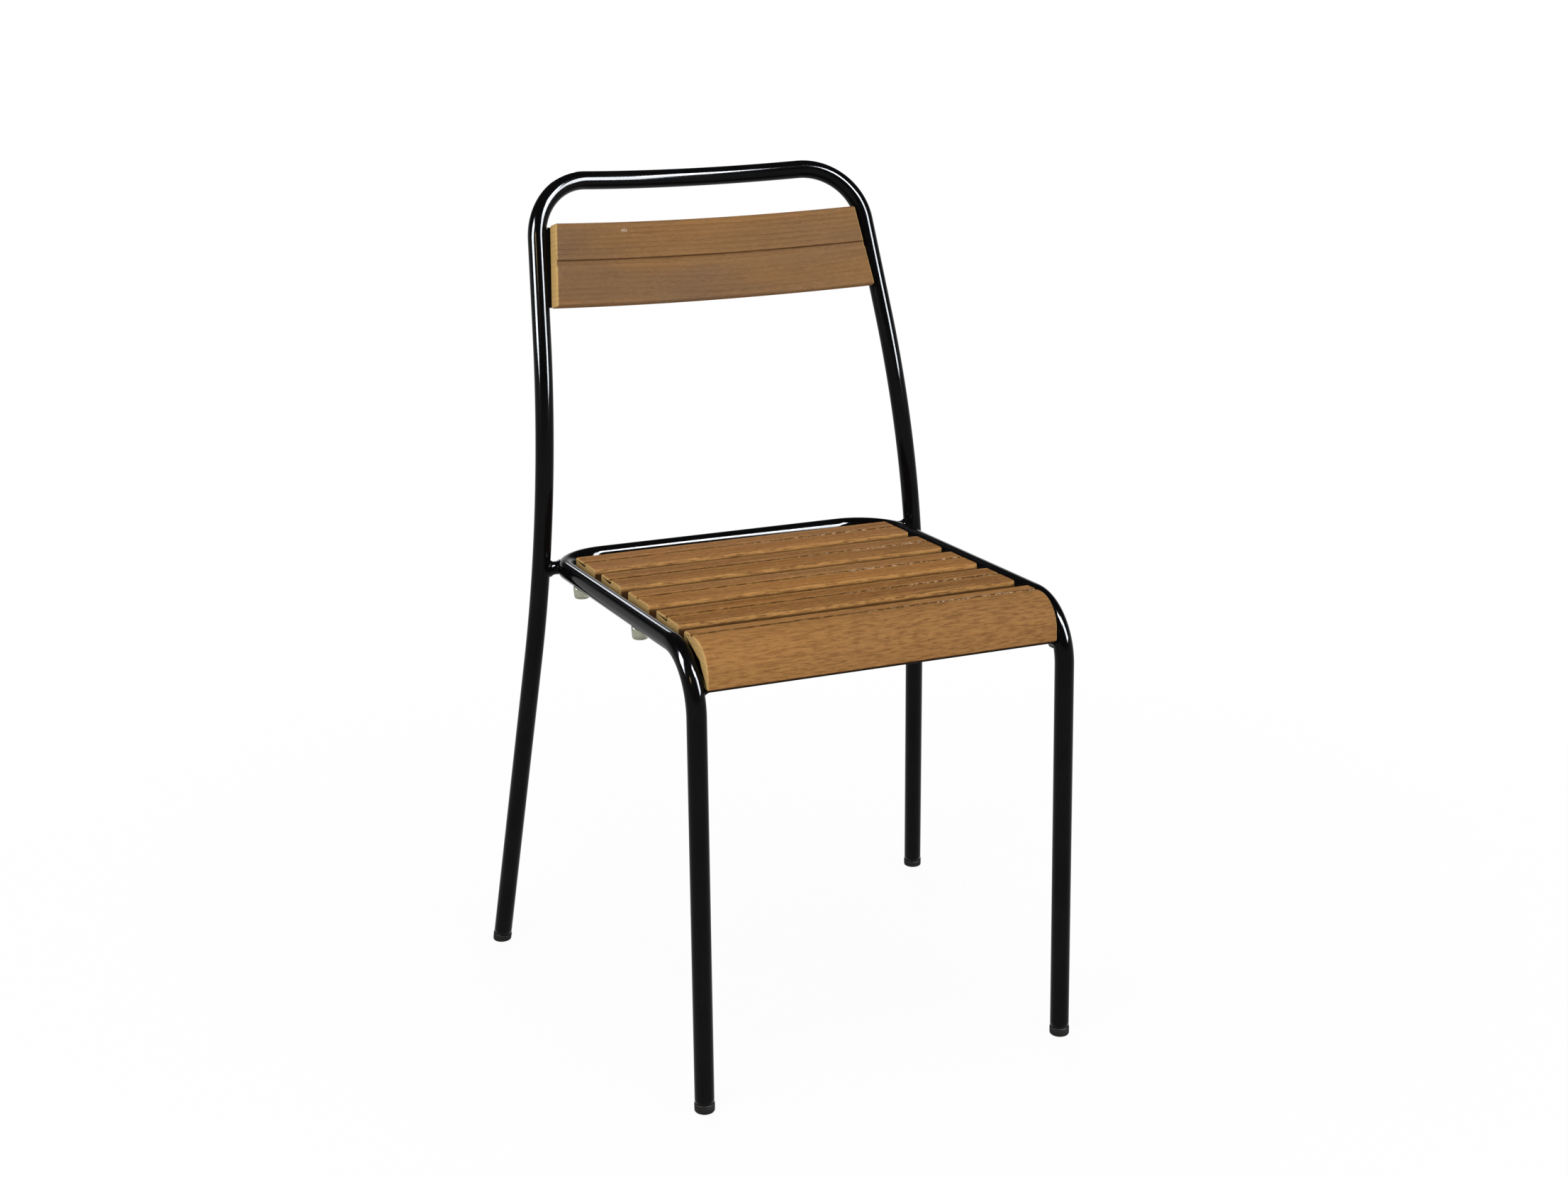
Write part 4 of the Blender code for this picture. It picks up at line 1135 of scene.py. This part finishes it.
def screw_rows(seat, axis, grip):
    """Pan head screw: domed head with a cross recess, shank and point.

    The head's height is a dome in radius, less a smooth cross cut by both
    slots; the cross is 1 inside the slots and falls off over their walls.
    """
    u, v = square_to(axis)
    a = circle(TURNED_SIDES)
    share = np.linspace(0.04, 1.0, 15)[:, None]
    x, y = share * np.cos(a), share * np.sin(a)
    narrow, wide = np.minimum(np.abs(x), np.abs(y)), np.maximum(np.abs(x), np.abs(y))
    slot = (np.clip((SLOT_HALF[0] - narrow) / SLOT_WALL[0], 0.0, 1.0)
            * np.clip((SLOT_HALF[1] - wide) / SLOT_WALL[1], 0.0, 1.0))
    height = SCREW_HEAD_H * (1 - SCREW_DOME * share ** 3.0) - SCREW_RECESS * slot
    head = seat + SCREW_HEAD_R * (x[..., None] * u + y[..., None] * v)
    head = head - height[..., None] * axis
    along = [-SCREW_HEAD_H * 0.15, 0.0, 0.0, grip - SCREW_R, grip]
    radii = [SCREW_HEAD_R, SCREW_HEAD_R * 0.95, SCREW_R, SCREW_R, SCREW_R * 0.2]
    return np.concatenate([head, turned(seat, axis, along, radii)])


class CHAIR_OT_screws(ChairOperator):
    """Pan head screws under the slats and behind the board"""
    bl_idname = "chair.screws"
    bl_label = "Screws"

    def execute(self, context):
        starts = [i * SLAT_PITCH + SCREW_SETBACK for i in range(SLAT_COUNT)]
        starts.append(FRONT_START + FRONT_SCREW_SETBACK)
        low = -SLAT_THICK - SUPPORT_THICK - 2 * GAP
        places = [(s, side) for s in starts for side in (1, -1)]
        for number, (s, side) in enumerate(places, 1):
            self.screw("slat_screw_%02d" % number, seat_point(side * SUPPORT_X, s, low),
                       SEAT_UP, SUPPORT_THICK + GAP)
        step = BRACKET_SCREW_STEP / math.hypot(1.0, LEAN)
        places = [(side, up) for side in (1, -1) for up in (0.5, -0.5)]
        for number, (side, up) in enumerate(places, 1):
            x = side * (board_half(BOARD_TOP_Z) - BRACKET_SCREW_IN)
            z = BOARD_LOW_Z + BOARD_HEIGHT / 2 + up * step
            seat = back_point(x, z, BOARD_THICK + BRACKET_THICK + 2 * GAP)
            self.screw("back_screw_%d" % number, seat, unit(back_point(x, z, 0.0) - seat),
                       BRACKET_THICK + 2 * GAP)
        return {"FINISHED"}

    def screw(self, node, seat, axis, through):
        """One screw through a plate and into the wood behind it."""
        make_piece(node + "_head", screw_rows(seat, axis, through + SCREW_BITE),
                   shared("zinc_steel", steel_look), [node], sharp=35)


class CHAIR_OT_feet(ChairOperator):
    """Foot caps: turned plastic plugs with a rounded sole and a collar under the tube"""
    bl_idname = "chair.feet"
    bl_label = "Foot caps"

    def execute(self, context):
        look = shared("moulded_black", plastic_look)
        for label, foot, up in (("front", FRONT_FOOT, FRONT_UP), ("rear", REAR_FOOT, REAR_UP)):
            rows = self.cap_rows(foot + OFFSET, up)
            for side, hand in SIDES:
                make_piece("foot_plug_%s_%s" % (label, hand), rows * (side, 1.0, 1.0), look,
                           ["foot_cap_%s_%s" % (label, hand)], sharp=45)
        return {"FINISHED"}

    def cap_rows(self, foot, up):
        """Rings up the leg's axis; the sole's rings lie flat on the floor."""
        soft = CAP_SOLE_ROUND
        a = np.radians(np.linspace(-90.0, 0.0, 8))
        top = CAP_HEIGHT / up[2]
        # above the sole: place from the cap's top, and radius, with a fine step below it
        shape = np.array([
            (-0.0016, CAP_R), (-0.0012, CAP_R - 0.0003), (-0.0010, CAP_R - 0.0003),
            (-0.0003, CAP_R), (0.0, CAP_R - 0.0003), (0.0, CAP_STEM_R),
            (0.0140, CAP_STEM_R), (0.0150, CAP_STEM_R - 0.0010)])
        along = np.concatenate([[0.0], soft + soft * np.sin(a), top + shape[:, 0]])
        radii = np.concatenate([[CAP_R * 0.45], CAP_R - soft + soft * np.cos(a), shape[:, 1]])
        rows = turned(foot, up, along, radii)
        flat = np.clip(1 - along / (2 * soft), 0.0, 1.0)[:, None]
        rows[..., 2] = rows[..., 2] * (1 - flat) + (foot[2] + along[:, None] * up[2]) * flat
        return rows


class CHAIR_OT_bumpers(ChairOperator):
    """Clear buttons saddled on the underside of the side rails"""
    bl_idname = "chair.bumpers"
    bl_label = "Stacking bumpers"

    def execute(self, context):
        look = shared("milky_clear", clear_look)
        for side, hand in SIDES:
            for y, place in zip(BUMPER_Y, ("rear", "front")):
                make_piece("bumper_button_%s_%s" % (place, hand),
                           self.button_rows(y) * (side, 1.0, 1.0), look,
                           ["stacking_bumper_%s_%s" % (place, hand)])
        return {"FINISHED"}

    def button_rows(self, y):
        """Rings from the middle of the saddle out, down the side and in over the sole.

        The saddle follows the tube: its depth is the root of the tube's radius
        squared less the distance across squared.
        """
        centre = np.array([RAIL_X, y, rail_z(y)]) + OFFSET
        a = circle(TURNED_SIDES)
        soft, sole = BUMPER_ROUND, TUBE_R + BUMPER_DROP
        inner = np.linspace(0.06, 1.0, 10)[:, None] * (BUMPER_R - BUMPER_EDGE)
        saddle = np.sqrt((TUBE_R + GAP) ** 2 - (inner * np.cos(a)) ** 2)
        turn = np.radians(np.linspace(0.0, 90.0, 8))[1:]
        depth = np.append(np.linspace(0.12, 0.95, 7), 1.0)
        side_r = BUMPER_R + (BUMPER_LOW_R - BUMPER_R) * depth ** 1.5
        low_r = BUMPER_LOW_R - soft + soft * np.cos(turn)
        low_r = np.append(low_r, (low_r[-1] * 0.55, low_r[-1] * 0.12))
        start = saddle[-1][None] + 0.0002
        side_d = start + (sole - soft - start) * depth[:, None]
        low_d = np.append(sole - soft + soft * np.sin(turn), (sole, sole))[:, None] + 0.0 * a
        radii = np.concatenate([inner[:, 0], side_r, low_r])[:, None]
        down = np.concatenate([saddle, side_d, low_d])[..., None]
        return (centre + (radii * np.cos(a))[..., None] * ACROSS
                + (radii * np.sin(a))[..., None] * SEAT_AHEAD - down * SEAT_UP)


class CHAIR_OT_stage(ChairOperator):
    """Pale floor, white surroundings, soft lamps and the photograph's camera"""
    bl_idname = "chair.stage"
    bl_label = "Stage"

    def execute(self, context):
        self.floor()
        self.surroundings()
        self.lamps()
        self.camera()
        bpy.context.scene.view_settings.view_transform = "Standard"
        return {"FINISHED"}

    def floor(self):
        """A pale disc. Seen or mirrored it is lifted to white, less the chair's shadow.

        The lift is 1 beyond a ring round the chair, and falls smoothly to its
        least under the chair, where the floor's own shading shows the shadow.
        """
        a = circle(FLOOR_SIDES)
        ring = np.stack([np.cos(a), np.sin(a), 0.0 * a], axis=1)
        rows = np.stack([ring * r for r in FLOOR_RINGS]) - (0.0, 0.0, FLOOR_DROP)
        middle = [(len(FLOOR_RINGS) - 1) * FLOOR_SIDES + i for i in range(FLOOR_SIDES)]
        mesh = bpy.data.meshes.new("floor")
        mesh.from_pydata(rows.reshape(-1, 3), [],
                         grid_faces(len(FLOOR_RINGS), FLOOR_SIDES) + [middle])
        floor = bpy.data.objects.new("floor", mesh)
        bpy.context.scene.collection.objects.link(floor)
        look, t, shader = new_look("floor_white")
        look.node_tree.nodes.remove(shader)
        spot = t.spot()
        tone = t.mix(t.noise(spot, 2.0, 2.0), (0.84, 0.84, 0.84), (0.86, 0.86, 0.86))
        matt = t.add("ShaderNodeBsdfDiffuse", {"Color": tone}).outputs[0]
        glow = t.add("ShaderNodeEmission", {"Strength": 1.0}).outputs[0]
        path = t.add("ShaderNodeLightPath").outputs
        seen = t.math("MAXIMUM", path["Is Camera Ray"], path["Is Glossy Ray"])
        seen = t.math("MAXIMUM", seen, path["Is Transmission Ray"])
        away = t.add("ShaderNodeVectorMath", {0: spot}, operation="LENGTH").outputs["Value"]
        lift = t.math("MULTIPLY_ADD", t.ramp(away, *FLOOR_SHADOW), 1 - FLOOR_LIFT, FLOOR_LIFT)
        lifted = t.add("ShaderNodeMixShader", {0: t.times(seen, lift), 1: matt, 2: glow})
        clear = t.add("ShaderNodeBsdfTransparent").outputs[0]
        below = t.add("ShaderNodeNewGeometry").outputs["Backfacing"]
        final = t.add("ShaderNodeMixShader", {0: below, 1: lifted.outputs[0], 2: clear})
        t.feed(look.node_tree.nodes["Material Output"], {0: final.outputs[0]})
        mesh.materials.append(look)

    def surroundings(self):
        """White where it is seen or mirrored near the horizon, and a dim ceiling above."""
        world = bpy.data.worlds.new("studio")
        bpy.context.scene.world = world
        world.use_nodes = True
        t = Tree(world.node_tree)
        up = t.split(t.add("ShaderNodeTexCoord").outputs["Generated"])[2]
        path = t.add("ShaderNodeLightPath").outputs
        mirrored_ray = t.math("MAXIMUM", path["Is Glossy Ray"], path["Is Transmission Ray"])
        wall = t.mix(t.ramp(up, 0.14, 0.30), WHITE, (0.05, 0.05, 0.055))
        room = t.mix(mirrored_ray, (0.42, 0.42, 0.43), wall)
        t.feed(world.node_tree.nodes["Background"], {
            "Color": t.mix(path["Is Camera Ray"], room, WHITE), "Strength": 1.0})

    def lamps(self):
        """Broad soft lamps for the surfaces, and the panels that the gloss mirrors.

        Each lamp stands at a bearing and a height angle from the middle of the
        chair and faces it; the bearing is 0 behind the chair and 90 to its right.
        """
        for name, bearing, rise, away, size, power, colour, mirrored_only in LAMPS:
            data = bpy.data.lights.new(name, "AREA")
            data.shape = "RECTANGLE"
            data.size, data.size_y = size
            data.energy = power
            data.color = colour
            lamp = bpy.data.objects.new(name, data)
            turn, lift = math.radians(bearing), math.radians(rise)
            ray = Vector((math.sin(turn) * math.cos(lift), math.cos(turn) * math.cos(lift),
                          math.sin(lift)))
            lamp.location = Vector((0.0, 0.0, LAMP_AIM_Z)) + ray * away
            lamp.rotation_euler = ray.to_track_quat("Z", "Y").to_euler()
            lamp.visible_diffuse = not mirrored_only
            lamp.visible_glossy = mirrored_only
            lamp.visible_transmission = mirrored_only
            lamp.visible_camera = False
            bpy.context.scene.collection.objects.link(lamp)

    def camera(self):
        """The photograph's camera: a place, a yaw, a pitch and a focal length."""
        yaw, pitch = CAMERA_YAW, CAMERA_PITCH
        ahead = np.array([math.sin(yaw) * math.cos(pitch), math.cos(yaw) * math.cos(pitch),
                          -math.sin(pitch)])
        right = np.array([math.cos(yaw), -math.sin(yaw), 0.0])
        up = np.cross(right, ahead)
        place = Matrix(np.stack([right, up, -ahead], axis=1).tolist()).to_4x4()
        place.translation = Vector(np.array(CAMERA_AT) + OFFSET)
        data = bpy.data.cameras.new("photo_camera")
        data.sensor_fit = "HORIZONTAL"
        data.sensor_width = SENSOR
        data.lens = CAMERA_FOCUS * SENSOR / PHOTO_WIDTH
        camera = bpy.data.objects.new("photo_camera", data)
        camera.matrix_world = place
        bpy.context.scene.collection.objects.link(camera)
        bpy.context.scene.camera = camera


class CHAIR_PT_panel(bpy.types.Panel):
    """Lists the chair's sizes, colours and pieces"""
    bl_idname = "CHAIR_PT_panel"
    bl_label = "Slatted side chair"
    bl_space_type = "VIEW_3D"
    bl_region_type = "UI"
    bl_category = "Chair"

    def draw(self, context):
        layout = self.layout
        for settings in (context.scene.chair_sizes, context.scene.chair_colours):
            for key in settings.__annotations__:
                layout.prop(settings, key)
        for operator in OPERATORS:
            layout.operator(operator.bl_idname)


OPERATORS = (
    CHAIR_OT_tubes, CHAIR_OT_spacers, CHAIR_OT_bars, CHAIR_OT_slats, CHAIR_OT_back,
    CHAIR_OT_screws, CHAIR_OT_feet, CHAIR_OT_bumpers, CHAIR_OT_stage,
)
CLASSES = (ChairSizes, ChairColours, *OPERATORS, CHAIR_PT_panel)


def register():
    for cls in CLASSES:
        bpy.utils.register_class(cls)
    bpy.types.Scene.chair_sizes = bpy.props.PointerProperty(type=ChairSizes)
    bpy.types.Scene.chair_colours = bpy.props.PointerProperty(type=ChairColours)


def unregister():
    del bpy.types.Scene.chair_sizes
    del bpy.types.Scene.chair_colours
    for cls in reversed(CLASSES):
        bpy.utils.unregister_class(cls)


def main():
    """Builds every piece and the stage."""
    register()
    for operator in OPERATORS:
        group, name = operator.bl_idname.split(".")
        getattr(getattr(bpy.ops, group), name)()


if __name__ == "__main__":
    main()
